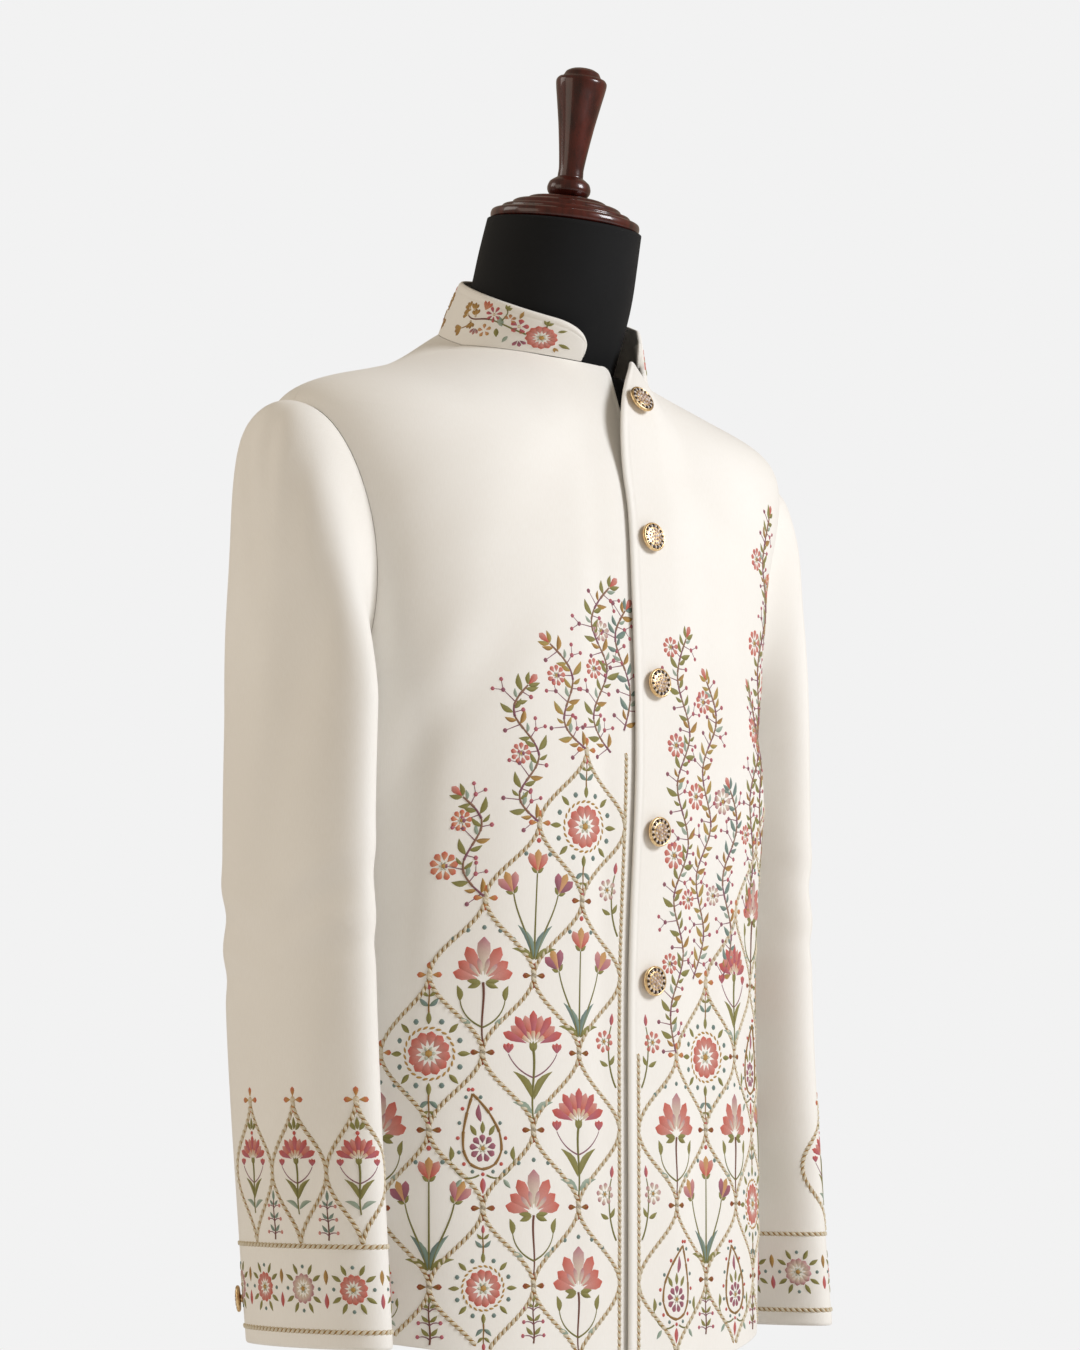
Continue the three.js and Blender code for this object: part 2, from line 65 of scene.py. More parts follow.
# ---- small maths

def polar(radius: float, turn: float) -> Place:
    """Point at a distance from the origin, in a direction in degrees."""
    return radius * cos(radians(turn)), radius * sin(radians(turn))


def smooth(t: Array) -> Array:
    """Eased step from 0 to 1."""
    t = np.clip(t, 0.0, 1.0)
    return t * t * (3.0 - 2.0 * t)


def mix(a: Array, b: Array, t: Array) -> Array:
    """Straight blend from a to b."""
    return a + (b - a) * t


def stack(x: Array, y: Array, z: Array) -> Array:
    """Three coordinate arrays as one array of points."""
    return np.stack(np.broadcast_arrays(x, y, z), axis=-1).astype(float)


def unit(v: Array) -> Array:
    """Vectors scaled to length one."""
    return v / np.maximum(np.linalg.norm(v, axis=-1, keepdims=True), 1e-12)


def normals_of(surface: Surface, u: Array, v: Array, step: float = 1e-3) -> Array:
    """Unit normals by central differences: the cross product of the two tangents.

    Args:
        surface: Points of the surface for arrays of its two parameters.
        u: First parameter.
        v: Second parameter.
        step: Half the width of a difference.

    Returns:
        One normal for each point.
    """
    along_u = surface(u + step, v) - surface(u - step, v)
    along_v = surface(u, v + step) - surface(u, v - step)
    return unit(np.cross(along_u, along_v))


def arc_lengths(points: Array, axis: int) -> Array:
    """Running length along one axis of a grid of points, from 0.

    Args:
        points: Grid of points.
        axis: Axis to run along.

    Returns:
        Length up to each point.
    """
    gaps = np.linalg.norm(np.diff(points, axis=axis), axis=-1)
    start = np.zeros_like(np.take(gaps, [0], axis=axis))
    return np.concatenate([start, np.cumsum(gaps, axis=axis)], axis=axis)


class Spline:
    """Natural cubic through rows that are one level apart, for whole arrays of levels."""

    def __init__(self, rows: Sequence[Sequence[float]]) -> None:
        """Solves the second derivatives: m[i-1] + 4 m[i] + m[i+1] = 6 times the second difference.

        Args:
            rows: One row of values for each level.
        """
        self.rows = np.array(rows, float)
        count = len(rows)
        system = np.eye(count)
        right = np.zeros_like(self.rows)
        inner = np.arange(1, count - 1)
        system[inner, inner - 1] = system[inner, inner + 1] = 1.0
        system[inner, inner] = 4.0
        right[1:-1] = 6.0 * np.diff(self.rows, 2, axis=0)
        self.bend = np.linalg.solve(system, right)

    def __call__(self, level: Array) -> Array:
        """Columns first: one array of values for each column of the table."""
        level = np.asarray(level, float)
        k = np.clip(np.floor(level).astype(int), 0, len(self.rows) - 2)
        b = (level - k)[..., None]
        a = 1.0 - b
        value = (a * self.rows[k] + b * self.rows[k + 1]
                 + ((a ** 3 - a) * self.bend[k] + (b ** 3 - b) * self.bend[k + 1]) / 6.0)
        return np.moveaxis(value, -1, 0)


# ---- meshes

def add_object(mesh: Mesh, material: Material) -> Piece:
    """Puts a mesh in the scene as a piece of its own name that rides on the one body.

    Args:
        mesh: Its mesh, in metres.
        material: Finish for all its faces.

    Returns:
        The new object.
    """
    obj = bpy.data.objects.new(mesh.name, mesh)
    bpy.context.scene.collection.objects.link(obj)
    mesh.materials.append(material)
    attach(obj, "root")
    return obj


def build_mesh(name: str, points: Array, faces: Array, uv: Array | None = None,
               colour: Array | None = None, sided: bool = False) -> Mesh:
    """Smooth mesh from whole arrays, turned the right way out.

    Args:
        name: Mesh name.
        points: N by 3 points in millimetres.
        faces: M by 4 corner indices, or M by 3.
        uv: N by 2 pattern coordinates in millimetres.
        colour: N by 3 linear colours for the thread attribute.
        sided: Leave the faces as they come.

    Returns:
        The mesh, in metres.
    """
    corner = points[faces]
    volume = np.einsum("ij,ij->i", corner[:, 0], np.cross(corner[:, 1], corner[:, 2])).sum()
    if faces.shape[1] == 4:
        volume += np.einsum("ij,ij->i", corner[:, 0], np.cross(corner[:, 2], corner[:, 3])).sum()
    if volume < 0 and not sided:
        faces = faces[:, ::-1]
    mesh = bpy.data.meshes.new(name)
    mesh.vertices.add(len(points))
    mesh.vertices.foreach_set("co", (points * MM).astype(np.float32).ravel())
    mesh.loops.add(faces.size)
    mesh.loops.foreach_set("vertex_index", faces.astype(np.int32).ravel())
    mesh.polygons.add(len(faces))
    starts = np.arange(len(faces), dtype=np.int32) * faces.shape[1]
    mesh.polygons.foreach_set("loop_start", starts)
    mesh.polygons.foreach_set("use_smooth", np.ones(len(faces), bool))
    mesh.update(calc_edges=True)
    if uv is not None:
        layer = mesh.uv_layers.new(name="UVMap")
        layer.data.foreach_set("uv", (uv * MM).astype(np.float32)[faces.ravel()].ravel())
    if colour is not None:
        layer = mesh.color_attributes.new(name="thread", type="FLOAT_COLOR", domain="POINT")
        rgba = np.concatenate([colour, np.ones((len(colour), 1))], axis=1)
        layer.data.foreach_set("color", rgba.astype(np.float32).ravel())
    mesh.validate()
    return mesh


def grid_faces(rows: int, columns: int, wrap: bool = False) -> Array:
    """Quads of a grid of points in row order, closed round its columns where wrap is set."""
    i, j = np.meshgrid(np.arange(rows - 1), np.arange(columns if wrap else columns - 1), indexing="ij")
    k = (j + 1) % columns
    quads = np.stack([i * columns + j, i * columns + k, (i + 1) * columns + k,
                      (i + 1) * columns + j], axis=-1)
    return quads.reshape(-1, 4)


def wall_mesh(name: str, outer: Array, inner: Array, uv: Array, roll: float) -> Mesh:
    """Cloth wall: outer skin, inner skin, and a rounded rim between their borders.

    The rim's middle line is the mean of the two borders pushed out by roll along the cloth.

    Args:
        name: Mesh name.
        outer: Rows by columns by 3 points.
        inner: The same grid, one wall deeper.
        uv: Rows by columns by 2 pattern coordinates.
        roll: How far the rim bulges, in millimetres.

    Returns:
        The closed mesh.
    """
    rows, columns = outer.shape[:2]
    index = np.arange(rows * columns).reshape(rows, columns)
    border = np.concatenate([index[0, :-1], index[:-1, -1], index[-1, :0:-1], index[:0:-1, 0]])
    within = np.clip(np.stack(np.divmod(border, columns), axis=1), 2, [rows - 3, columns - 3])
    inside = index[within[:, 0], within[:, 1]]
    flat_outer, flat_inner = outer.reshape(-1, 3), inner.reshape(-1, 3)
    away = unit(flat_outer[border] - flat_outer[inside])
    middle = (flat_outer[border] + flat_inner[border]) / 2 + away * roll
    size = rows * columns
    quads = grid_faces(rows, columns)
    k = np.arange(len(border))
    following = (k + 1) % len(border)
    rim_at = 2 * size + k
    rim_to = 2 * size + following
    faces = np.concatenate([
        quads, quads[:, ::-1] + size,
        np.stack([border[following], border, rim_at, rim_to], axis=1),
        np.stack([rim_to, rim_at, border + size, border[following] + size], axis=1)])
    flat_uv = uv.reshape(-1, 2)
    return build_mesh(name, np.concatenate([flat_outer, flat_inner, middle]), faces,
                      np.concatenate([flat_uv, flat_uv, flat_uv[border]]))


def tube_faces(rows: int, columns: int) -> Array:
    """Triangles of rings in row order, with fans to the two points that follow the last ring.

    Args:
        rows: Number of rings.
        columns: Points in each ring.

    Returns:
        Corner indices of the closed tube.
    """
    quads = grid_faces(rows, columns, wrap=True)
    k = np.arange(columns)
    following = (k + 1) % columns
    low = np.full(columns, rows * columns)
    top = (rows - 1) * columns
    return np.concatenate([
        quads[:, [0, 1, 2]], quads[:, [0, 2, 3]], np.stack([following, k, low], axis=1),
        np.stack([top + k, top + following, low + 1], axis=1)])


def turned_mesh(name: str, profile: Array, foot: Array, axis: Array, segments: int) -> Mesh:
    """Turned solid: a profile of radius and height spun round an axis, closed at both ends.

    Args:
        name: Mesh name.
        profile: K by 2 radius and height, in millimetres.
        foot: Point that height 0 stands on.
        axis: Unit vector of the spindle.
        segments: Steps round.

    Returns:
        The closed mesh.
    """
    side = unit(np.cross(axis, [0.0, 1.0, 0.3]))
    front = np.cross(axis, side)
    angle = np.linspace(0, 2 * pi, segments, endpoint=False)
    ring = np.cos(angle)[:, None] * side + np.sin(angle)[:, None] * front
    radius, height = profile[:, 0, None, None], profile[:, 1, None, None]
    points = (foot + radius * ring + height * axis).reshape(-1, 3)
    ends = np.stack([foot + profile[0, 1] * axis, foot + profile[-1, 1] * axis])
    count = len(profile)
    lengths = arc_lengths(profile, 0)
    uv = np.stack([np.tile(angle * 30.0, count), np.repeat(lengths, segments)], axis=1)
    uv = np.concatenate([uv, [[0.0, 0.0], [0.0, lengths[-1]]]])
    return build_mesh(name, np.concatenate([points, ends]), tube_faces(count, segments), uv)


def round_profile(profile: Path, steps: int = 6) -> Array:
    """Profile smoothed by Hermite cubics through its points, with its ends kept.

    A slope points from one neighbour to the other, and is short so that the steps stay crisp.

    Args:
        profile: Points of radius and height.
        steps: Points in each span.

    Returns:
        The smoothed points.
    """
    p = np.array(profile, float)
    padded = np.concatenate([p[:1], p, p[-1:]])
    t = np.linspace(0, 1, steps, endpoint=False)[None, :, None]
    a, b = p[:-1, None], p[1:, None]
    span = np.linalg.norm(b - a, axis=-1, keepdims=True)
    slope_a = unit((padded[2:-1] - padded[:-3])[:, None]) * span * 0.8
    slope_b = unit((padded[3:] - padded[1:-2])[:, None]) * span * 0.8
    curve = ((2 * t ** 3 - 3 * t ** 2 + 1) * a + (t ** 3 - 2 * t ** 2 + t) * slope_a
             + (3 * t ** 2 - 2 * t ** 3) * b + (t ** 3 - t ** 2) * slope_b)
    return np.concatenate([curve.reshape(-1, 2), p[-1:]])


# ---- shader tools

def arithmetic(operation: str, swapped: bool = False) -> Callable[["Field", object], "Field"]:
    """Operator of a field that adds a Math node.

    Args:
        operation: The node's operation.
        swapped: The field is its second value.

    Returns:
        The method.
    """
    def method(self: "Field", other: object) -> "Field":
        """Result of the operation."""
        first, second = (other, self) if swapped else (self, other)
        return self.recipe.node("Math", {"operation": operation}, {0: first, 1: second})[0]
    return method


class Field:
    """A value that changes over a surface: a socket whose arithmetic adds Math nodes."""

    def __init__(self, recipe: "Recipe", socket: bpy.types.NodeSocket) -> None:
        """Wraps one output socket of a recipe."""
        self.recipe = recipe
        self.socket = socket

    __add__ = __radd__ = arithmetic("ADD")
    __mul__ = __rmul__ = arithmetic("MULTIPLY")
    __sub__ = arithmetic("SUBTRACT")
    __rsub__ = arithmetic("SUBTRACT", swapped=True)

    def ripple(self, period: float) -> "Field":
        """Sine wave of the value between 0 and 1, one wave for each period."""
        wave = self.recipe.node("Math", {"operation": "SINE"}, {0: self * (2 * pi / period)})
        return wave[0] * 0.5 + 0.5

    def step(self, low: float, high: float) -> "Field":
        """Eased mask that is 0 below low and 1 above high."""
        settings = {"interpolation_type": "SMOOTHSTEP"}
        return self.recipe.node("MapRange", settings, {0: self, 1: low, 2: high})[0]


class Recipe:
    """A material's node tree with its Principled shader at hand."""

    def __init__(self, name: str) -> None:
        """Starts a material that holds only a Principled shader and its output."""
        self.material = bpy.data.materials.new(name)
        self.material.use_nodes = True
        self.tree = self.material.node_tree
        self.tree.nodes.clear()
        self.shader = self.tree.nodes.new("ShaderNodeBsdfPrincipled")
        output = self.tree.nodes.new("ShaderNodeOutputMaterial")
        self.tree.links.new(self.shader.outputs[0], output.inputs["Surface"])

    def node(self, kind: str, settings: dict | None = None, inputs: dict | None = None) -> dict:
        """Any node, with its settings first and then its sockets.

        Args:
            kind: Node type without its ShaderNode prefix.
            settings: Properties to set, such as a Math node's operation.
            inputs: Values or fields by socket name or number.

        Returns:
            The node's outputs as fields, by name and by number.
        """
        made = self.tree.nodes.new("ShaderNode" + kind)
        for key, value in (settings or {}).items():
            setattr(made, key, value)
        for key, value in (inputs or {}).items():
            self.feed(made.inputs[key], value)
        return {key: Field(self, socket) for number, socket in enumerate(made.outputs)
                for key in (socket.name, number)}

    def feed(self, socket: bpy.types.NodeSocket, value: object) -> None:
        """Links a field to a socket, or sets a plain value or colour on it."""
        if isinstance(value, Field):
            self.tree.links.new(value.socket, socket)
        elif isinstance(value, tuple) and len(value) == 3 and socket.type == "RGBA":
            socket.default_value = (*value, 1.0)
        else:
            socket.default_value = value

    def blend(self, factor: object, first: object, second: object) -> Field:
        """Colour mixed from two colours."""
        return self.node("Mix", {"data_type": "RGBA"}, {0: factor, 6: first, 7: second})[2]

    def place(self, scale: Triple = (1, 1, 1), pattern: str = "Object") -> Field:
        """Object or UV coordinates, stretched by a scale."""
        source = self.node("TexCoord")[pattern]
        return self.node("Mapping", {}, {"Vector": source, "Scale": scale})[0]

    def noise(self, place: Field, scale: float, detail: float = 3.0, rough: float = 0.5) -> Field:
        """Noise between 0 and 1."""
        inputs = {"Vector": place, "Scale": scale, "Detail": detail, "Roughness": rough}
        return self.node("TexNoise", {}, inputs)[0]

    def bump(self, height: Field, distance: float, strength: float = 1.0) -> None:
        """Feeds the shader's normal from a height, with its depth in millimetres."""
        inputs = {"Height": height, "Distance": distance * MM, "Strength": strength}
        self.feed(self.shader.inputs["Normal"], self.node("Bump", {}, inputs)["Normal"])

    def finish(self, **sockets: object) -> Material:
        """Sets the shader's sockets by name, with underscores for spaces."""
        for key, value in sockets.items():
            self.feed(self.shader.inputs[key.replace("_", " ")], value)
        return self.material


# ---- finishes

@dataclass(frozen=True)
class Suiting:
    """Fine matte suiting: a close plain weave with soft slubs."""

    light: Triple = (0.870, 0.856, 0.822)
    deep: Triple = (0.828, 0.806, 0.762)
    pitch: float = 0.62           # one warp and weft crossing, mm
    rough: float = 0.82

    def build(self) -> Material:
        """Weave height is the product of two ripples, with slub noise over it.

        Returns:
            The material.
        """
        r = Recipe("ivory_suiting")
        uv = r.node("TexCoord")["UV"]
        axes = r.node("SeparateXYZ", {}, {0: uv})
        pitch = self.pitch * MM
        weave = axes[0].ripple(pitch) * axes[1].ripple(pitch)
        slub = r.noise(r.place((1400, 170, 1), "UV"), 1.0, 2.0)
        cloud = r.noise(r.place(), 9.0, 3.0)
        tone = (cloud * 0.6 + slub * 0.4).step(0.3, 0.75)
        r.bump(weave * 0.7 + slub * 0.5, 0.07, 0.55)
        return r.finish(Base_Color=r.blend(tone, self.deep, self.light),
                        Roughness=self.rough + (slub - 0.5) * 0.12,
                        Sheen_Weight=0.18, Sheen_Roughness=0.45, Specular_IOR_Level=0.22)


@dataclass(frozen=True)
class Jersey:
    """Black cotton jersey stretched over the form: fine knit wales."""

    colour: Triple = (0.0056, 0.0060, 0.0068)
    worn: Triple = (0.0090, 0.0094, 0.0103)
    wale: float = 0.9

    def build(self) -> Material:
        """Knit height is narrow wales crossed by finer courses.

        Returns:
            The material.
        """
        r = Recipe("black_jersey")
        axes = r.node("SeparateXYZ", {}, {0: r.node("TexCoord")["UV"]})
        knit = axes[0].ripple(self.wale * MM) * axes[1].ripple(self.wale * 0.7 * MM)
        lint = r.noise(r.place(), 420.0, 2.0)
        cloud = r.noise(r.place(), 14.0, 3.0)
        r.bump(knit + lint * 0.5, 0.10, 0.6)
        return r.finish(Base_Color=r.blend(cloud.step(0.3, 0.8), self.colour, self.worn),
                        Roughness=0.84 + (cloud - 0.5) * 0.1, Sheen_Weight=0.035,
                        Sheen_Roughness=0.4, Specular_IOR_Level=0.2)


@dataclass(frozen=True)
class Mahogany:
    """Dark polished mahogany with grain along the spindle and a clear lacquer."""

    dark: Triple = (0.022, 0.0030, 0.0018)
    warm: Triple = (0.085, 0.010, 0.005)
    stretch: Triple = (60.0, 60.0, 7.0)

    def build(self) -> Material:
        """Grain is stretched noise, darkened by fine pores and mellowed by a slow cloud.

        Returns:
            The material.
        """
        r = Recipe("mahogany")
        grain = r.noise(r.place(self.stretch), 2.2, 6.0, 0.62)
        pores = r.noise(r.place((900, 900, 60)), 1.0, 2.0)
        cloud = r.noise(r.place(), 22.0, 2.0)
        tone = (grain * 0.8 + cloud * 0.35).step(0.36, 0.78)
        colour = r.blend(tone, self.dark, self.warm)
        colour = r.blend(pores.step(0.62, 0.75) * 0.5, colour, self.dark)
        r.bump(grain * 0.5 + pores * 0.3, 0.05, 0.3)
        return r.finish(Base_Color=colour, Roughness=0.30 + (grain - 0.5) * 0.18,
                        Coat_Weight=0.55, Coat_Roughness=0.07, Specular_IOR_Level=0.3)


@dataclass(frozen=True)
class Gilt:
    """Warm gilt metal, a little hammered and rubbed."""

    colour: Triple = (0.74, 0.50, 0.24)
    rubbed: Triple = (0.90, 0.70, 0.42)

    def build(self) -> Material:
        """Rubbed patches follow a fine noise.

        Returns:
            The material.
        """
        r = Recipe("gilt_metal")
        spots = r.noise(r.place(), 520.0, 3.0)
        r.bump(spots, 0.12, 0.5)
        return r.finish(Base_Color=r.blend(spots.step(0.4, 0.65), self.colour, self.rubbed),
                        Metallic=1.0, Roughness=0.24 + spots * 0.16)


@dataclass(frozen=True)
class Stones:
    """Small cut stones, from clear to smoky brown, by the thread attribute."""

    def build(self) -> Material:
        """The stone's own colour under a bright polish.

        Returns:
            The material.
        """
        r = Recipe("cut_stones")
        tint = r.node("Attribute", {"attribute_name": "thread"})["Color"]
        return r.finish(Base_Color=tint, Roughness=0.30, Specular_IOR_Level=0.5,
                        Coat_Weight=0.15, Coat_Roughness=0.05)


@dataclass(frozen=True)
class Floss:
    """Stranded silk thread in satin stitch, coloured by the thread attribute."""

    strand: float = 0.55

    def build(self) -> Material:
        """Strands ripple along the pattern's first axis, and each stitch varies a little.

        Returns:
            The material.
        """
        r = Recipe("silk_floss")
        axes = r.node("SeparateXYZ", {}, {0: r.node("TexCoord")["UV"]})
        lean = axes[0] + axes[1] * 0.35
        strand = lean.ripple(self.strand * MM)
        fleck = r.noise(r.place(), 900.0, 2.0)
        tint = r.node("Attribute", {"attribute_name": "thread"})["Color"]
        shade = r.blend(0.10 + strand * 0.10 + fleck * 0.16, tint, (0.10, 0.07, 0.05))
        r.bump(strand + fleck * 0.4, 0.14, 0.6)
        return r.finish(Base_Color=shade, Roughness=0.46 + fleck * 0.2, Sheen_Weight=0.25,
                        Sheen_Roughness=0.3, Specular_IOR_Level=0.45)


@dataclass(frozen=True)
class StudioFloor:
    """Plain pale floor."""

    colour: Triple = (0.88, 0.88, 0.88)

    def build(self) -> Material:
        """Even matte paint with a faint tooth.

        Returns:
            The material.
        """
        r = Recipe("studio_floor")
        tooth = r.noise(r.place(), 60.0, 3.0)
        return r.finish(Base_Color=self.colour, Roughness=0.85 + (tooth - 0.5) * 0.1)


# ---- the jacket's block

class Side(Enum):
    """The wearer's sides, as the sign of x."""

    LEFT = 1
    RIGHT = -1

    @property
    def label(self) -> str:
        """Lower-case name for a piece."""
        return self.name.lower()


@dataclass(frozen=True)
class Crease:
    """A soft ridge or trough in cloth: a stretched bell across a line.

    The place is (across, up) in millimetres on the piece, the tilt is the line's angle from level,
    and a negative depth is a ridge.
    """

    across: float
    up: float
    tilt: float
    length: float
    width: float
    depth: float

    def at(self, across: Array, up: Array) -> Array:
        """Height to take off the cloth: depth times two bells, with a raised lip on one side."""
        turn = radians(self.tilt)
        dx, dy = across - self.across, up - self.up
        along = (dx * cos(turn) + dy * sin(turn)) / self.length
        over = (-dx * sin(turn) + dy * cos(turn)) / self.width
        over = over + 0.35 * along ** 2
        return self.depth * np.exp(-along ** 2) * (np.exp(-over ** 2) - 0.55 * np.exp(-(over - 1.7) ** 2))


def crease_rows(*rows: tuple[float, ...]) -> tuple[Crease, ...]:
    """Creases from rows of their six numbers."""
    return tuple(Crease(*row) for row in rows)


def creased(creases: Sequence[Crease], across: Array, up: Array) -> Array:
    """Sum of creases as an offset outwards."""
    return -sum((c.at(across, up) for c in creases), np.zeros(np.broadcast(across, up).shape))


@dataclass
class Block:
    """Cut of the jacket: torso levels 0 hem, 4 underarm, 6 shoulder tip, 8 neck seam."""

    cloth: float = 2.2
    collar_wall: float = 3.0
    seam_gap: float = 0.3
    underarm: float = 4.0
    shoulder: float = 6.0
    neck: float = 8.0
    front_bite: float = radians(14)
    back_bite: float = radians(18)
    overlap_lift: float = 4.4
    collar_lift: float = 14.0
    lift_full_x: float = 24.0
    lift_end_x: float = 66.0
    neck_fall: float = 0.30       # levels that the left neck seam drops where it falls open
    fall_turns: tuple = tuple(radians(a) for a in (24, 37, 60, 88))
    collar_open: tuple = (4.0, -2.0)   # how far the collar's left end leans out, and sinks if above 0
    open_turns: tuple = tuple(radians(a) for a in (50, 125))
    corner: float = 6.0           # rounding of the right front's top corner
    corner_levels: float = 0.12
    # z at front, side and back, half width, front and back depth, squareness
    torso_rows: tuple = (
        (-26, 4, -4, 178, 111, 124, 2.70), (112, 120, 118, 178, 112, 119, 2.75),
        (255, 255, 255, 175, 113, 102, 2.75), (370, 370, 372, 179, 119, 108, 2.80),
        (452, 450, 458, 182, 119, 118, 2.80), (535, 551, 564, 200, 115, 118, 2.60),
        (595, 641, 647, 226, 106, 104, 2.25), (649, 675, 704, 164, 90, 84, 1.85),
        (693, 707, 735, 70, 64, 69, 2.00))
    # x of the left edge, on top, and of the right edge
    edge_rows: tuple = ((-16, 20), (-16, 20), (-16, 20), (-15.5, 20), (-15, 20), (-14.5, 19),
                        (-11.5, 15), (-7, 7), (31, 18))
    # z, centre x and y, half sizes along x and y
    sleeve_rows: tuple = ((430, 214, 4, 28, 76), (330, 215, 4, 28, 75), (220, 214, 0, 28, 73),
                          (110, 213, -9, 28, 71), (2, 213, -20, 28, 69))
    # z, centre y, half sizes, tilt in degrees
    neck_rows: tuple = ((704, 2, 64, 58, 16), (743, -17, 60, 59, 12),
                        (770, -25.5, 58.5, 59, 10.5), (800, -34, 56.5, 57.5, 10))
    collar_top: tuple = (743.0, -16.0, 65.0, 63.5, 29.0)   # z, centre y, half sizes, tilt
    collar_right_end: float = radians(-10)
    collar_left_end: float = radians(43)
    collar_corners: tuple = (13.0, 31.0)   # rounding of the top edge at the left and right end

    def __post_init__(self) -> None:
        """Fits the splines."""
        self.torso_at = Spline(self.torso_rows)
        self.edges_at = Spline(self.edge_rows)
        self.sleeve_at = Spline(self.sleeve_rows)
        self.neck_at = Spline(self.neck_rows)
        self.sleeve_end = float(len(self.sleeve_rows))

    def torso(self, level: Array, angle: Array) -> Array:
        """Superellipse ring at a level; z eases from its front or back value to the side's.

        Args:
            level: Torso level.
            angle: Angle from the front towards the wearer's left.

        Returns:
            Points.
        """
        level, angle = np.broadcast_arrays(np.asarray(level, float), angle)
        z_front, z_side, z_back, half, front, back, power = self.torso_at(level)
        s, c = np.sin(angle), np.cos(angle)
        depth = np.where(c > 0, front, back)
        radius = (np.abs(s / half) ** power + np.abs(c / depth) ** power) ** (-1 / power)
        share = mix(c * c, np.abs(c), smooth(level - 7))
        z = z_side + (np.where(c > 0, z_front, z_back) - z_side) * share
        return stack(radius * s, -radius * c, HEM + z)

    def torso_normal(self, level: Array, angle: Array) -> Array:
        """Outward normal of the torso."""
        return normals_of(lambda a, l: self.torso(l, a), angle, level)

    def lift(self, level: Array, x: Array) -> Array:
        """How far the left front stands off the torso."""
        full = mix(self.overlap_lift, self.collar_lift, smooth((level - 6) / 1.2))
        return full * smooth((self.lift_end_x - x) / (self.lift_end_x - self.lift_full_x))

    def fallen(self, level: Array, angle: Array) -> Array:
        """Level of the left front once its neck corner falls open: less by a bell in the angle."""
        first, full, fade, last = self.fall_turns
        share = smooth((angle - first) / (full - first)) * smooth((last - angle) / (last - fade))
        return level - self.neck_fall * smooth((level - 6.6) / 1.4) * share

    def side_angle(self, level: Array, bite: float) -> Array:
        """Edge of the armhole: a quarter turn less the bite times a half circle in level."""
        half = (self.shoulder - self.underarm) / 2
        x = (level - self.underarm - half) / half
        return pi / 2 - bite * np.sqrt(np.maximum(0.0, 1 - x * x))

    def edge_angle(self, level: Array, side: Side) -> Array:
        """Angle of a front's edge."""
        x = self.edges_at(level)[0 if side is Side.LEFT else 1]
        t = np.clip((level - self.neck + self.corner_levels) / self.corner_levels, 0, 1)
        x = x + side.value * self.corner * (1 - np.sqrt(1 - t * t))
        return np.arcsin(x / self.torso_at(level)[4])

    def armhole(self, turn: Array, side: Side) -> Array:
        """Armhole seam: 0 at the shoulder, a quarter turn at the front."""
        middle, half = (self.underarm + self.shoulder) / 2, (self.shoulder - self.underarm) / 2
        s = np.sin(turn)
        bite = np.where(s > 0, self.front_bite, self.back_bite) * s
        return self.torso(middle + half * np.cos(turn), side.value * (pi / 2 - bite))

    def arm_ring(self, station: Array, turn: Array, side: Side) -> Array:
        """Flattened ring of the arm."""
        z, cx, cy, hx, hy = self.sleeve_at(station)
        return stack(side.value * (cx + hx * np.cos(turn)), cy - hy * np.sin(turn), HEM + z)

    def sleeve(self, way: Array, turn: Array, side: Side) -> Array:
        """Sleeve: a Hermite blend from armhole to first ring up to 1, then the arm.

        Args:
            way: 0 at the armhole, 1 at the first ring, and one more for each ring after it.
            turn: Angle round the arm from its outside.
            side: The wearer's side.

        Returns:
            Points.
        """
        way, turn = np.broadcast_arrays(np.asarray(way, float), turn)
        arm = self.arm_ring(np.maximum(way - 1, 0), turn, side)
        start = self.armhole(turn, side)
        end = self.arm_ring(np.zeros_like(way), turn, side)
        top = (1 + np.cos(turn)) / 2
        reach = np.linalg.norm(end - start, axis=-1, keepdims=True)
        leave = stack(side.value * (0.66 + 0.16 * top), 0 * top, 0.26 * top - 0.35 * (1 - top))
        t = np.clip(way, 0, 1)[..., None]
        head = ((2 * t ** 3 - 3 * t ** 2 + 1) * start + (t ** 3 - 2 * t ** 2 + t) * leave * 0.9 * reach
                + (3 * t ** 2 - 2 * t ** 3) * end
                + (t ** 3 - t ** 2) * np.array([0, 0, -1.28]) * reach)
        return np.where((way < 1)[..., None], head, arm)

    def collar(self, rise: Array, angle: Array) -> Array:
        """Collar: straight from the neck seam to the leaning top ring.

        Args:
            rise: 0 at the seam and 1 at the ring.
            angle: Angle from the front.

        Returns:
            Points.
        """
        rise, angle = np.broadcast_arrays(np.asarray(rise, float), angle)
        level = self.fallen(np.full(angle.shape, self.neck), angle)
        foot = self.torso(level, angle)
        fronts = (np.sin(angle) > 0) & (np.cos(angle) > 0)
        raised = self.lift(self.neck, np.where(fronts, foot[..., 0], self.lift_end_x))
        foot = foot + raised[..., None] * self.torso_normal(level, angle)
        foot[..., 2] += 2 * self.seam_gap
        z, cy, hx, hy, tilt = self.collar_top
        s, c = np.sin(angle), np.cos(angle)
        top = stack(hx * s, cy - hy * c, HEM + z - tilt * c)
        full, last = self.open_turns
        share = smooth((last - angle) / (last - full))
        out = 0.8 * raised + self.collar_open[0] * share
        top = top + stack(out * s, -out * c, 0.35 * raised - self.collar_open[1] * share)
        return mix(foot, top, rise[..., None])

    def collar_rise(self, angle: Array) -> Array:
        """Height of the collar's top edge, rounded down to each end."""
        radius = (self.collar_top[2] + self.collar_top[3]) / 2
        last = 2 * pi + self.collar_right_end
        t = np.minimum((angle - self.collar_left_end) / self.collar_corners[0],
                       (last - angle) / self.collar_corners[1])
        t = np.clip(t * radius, 0, 1)
        return mix(0.36, 1.0, np.sqrt(1 - (1 - t) ** 2))

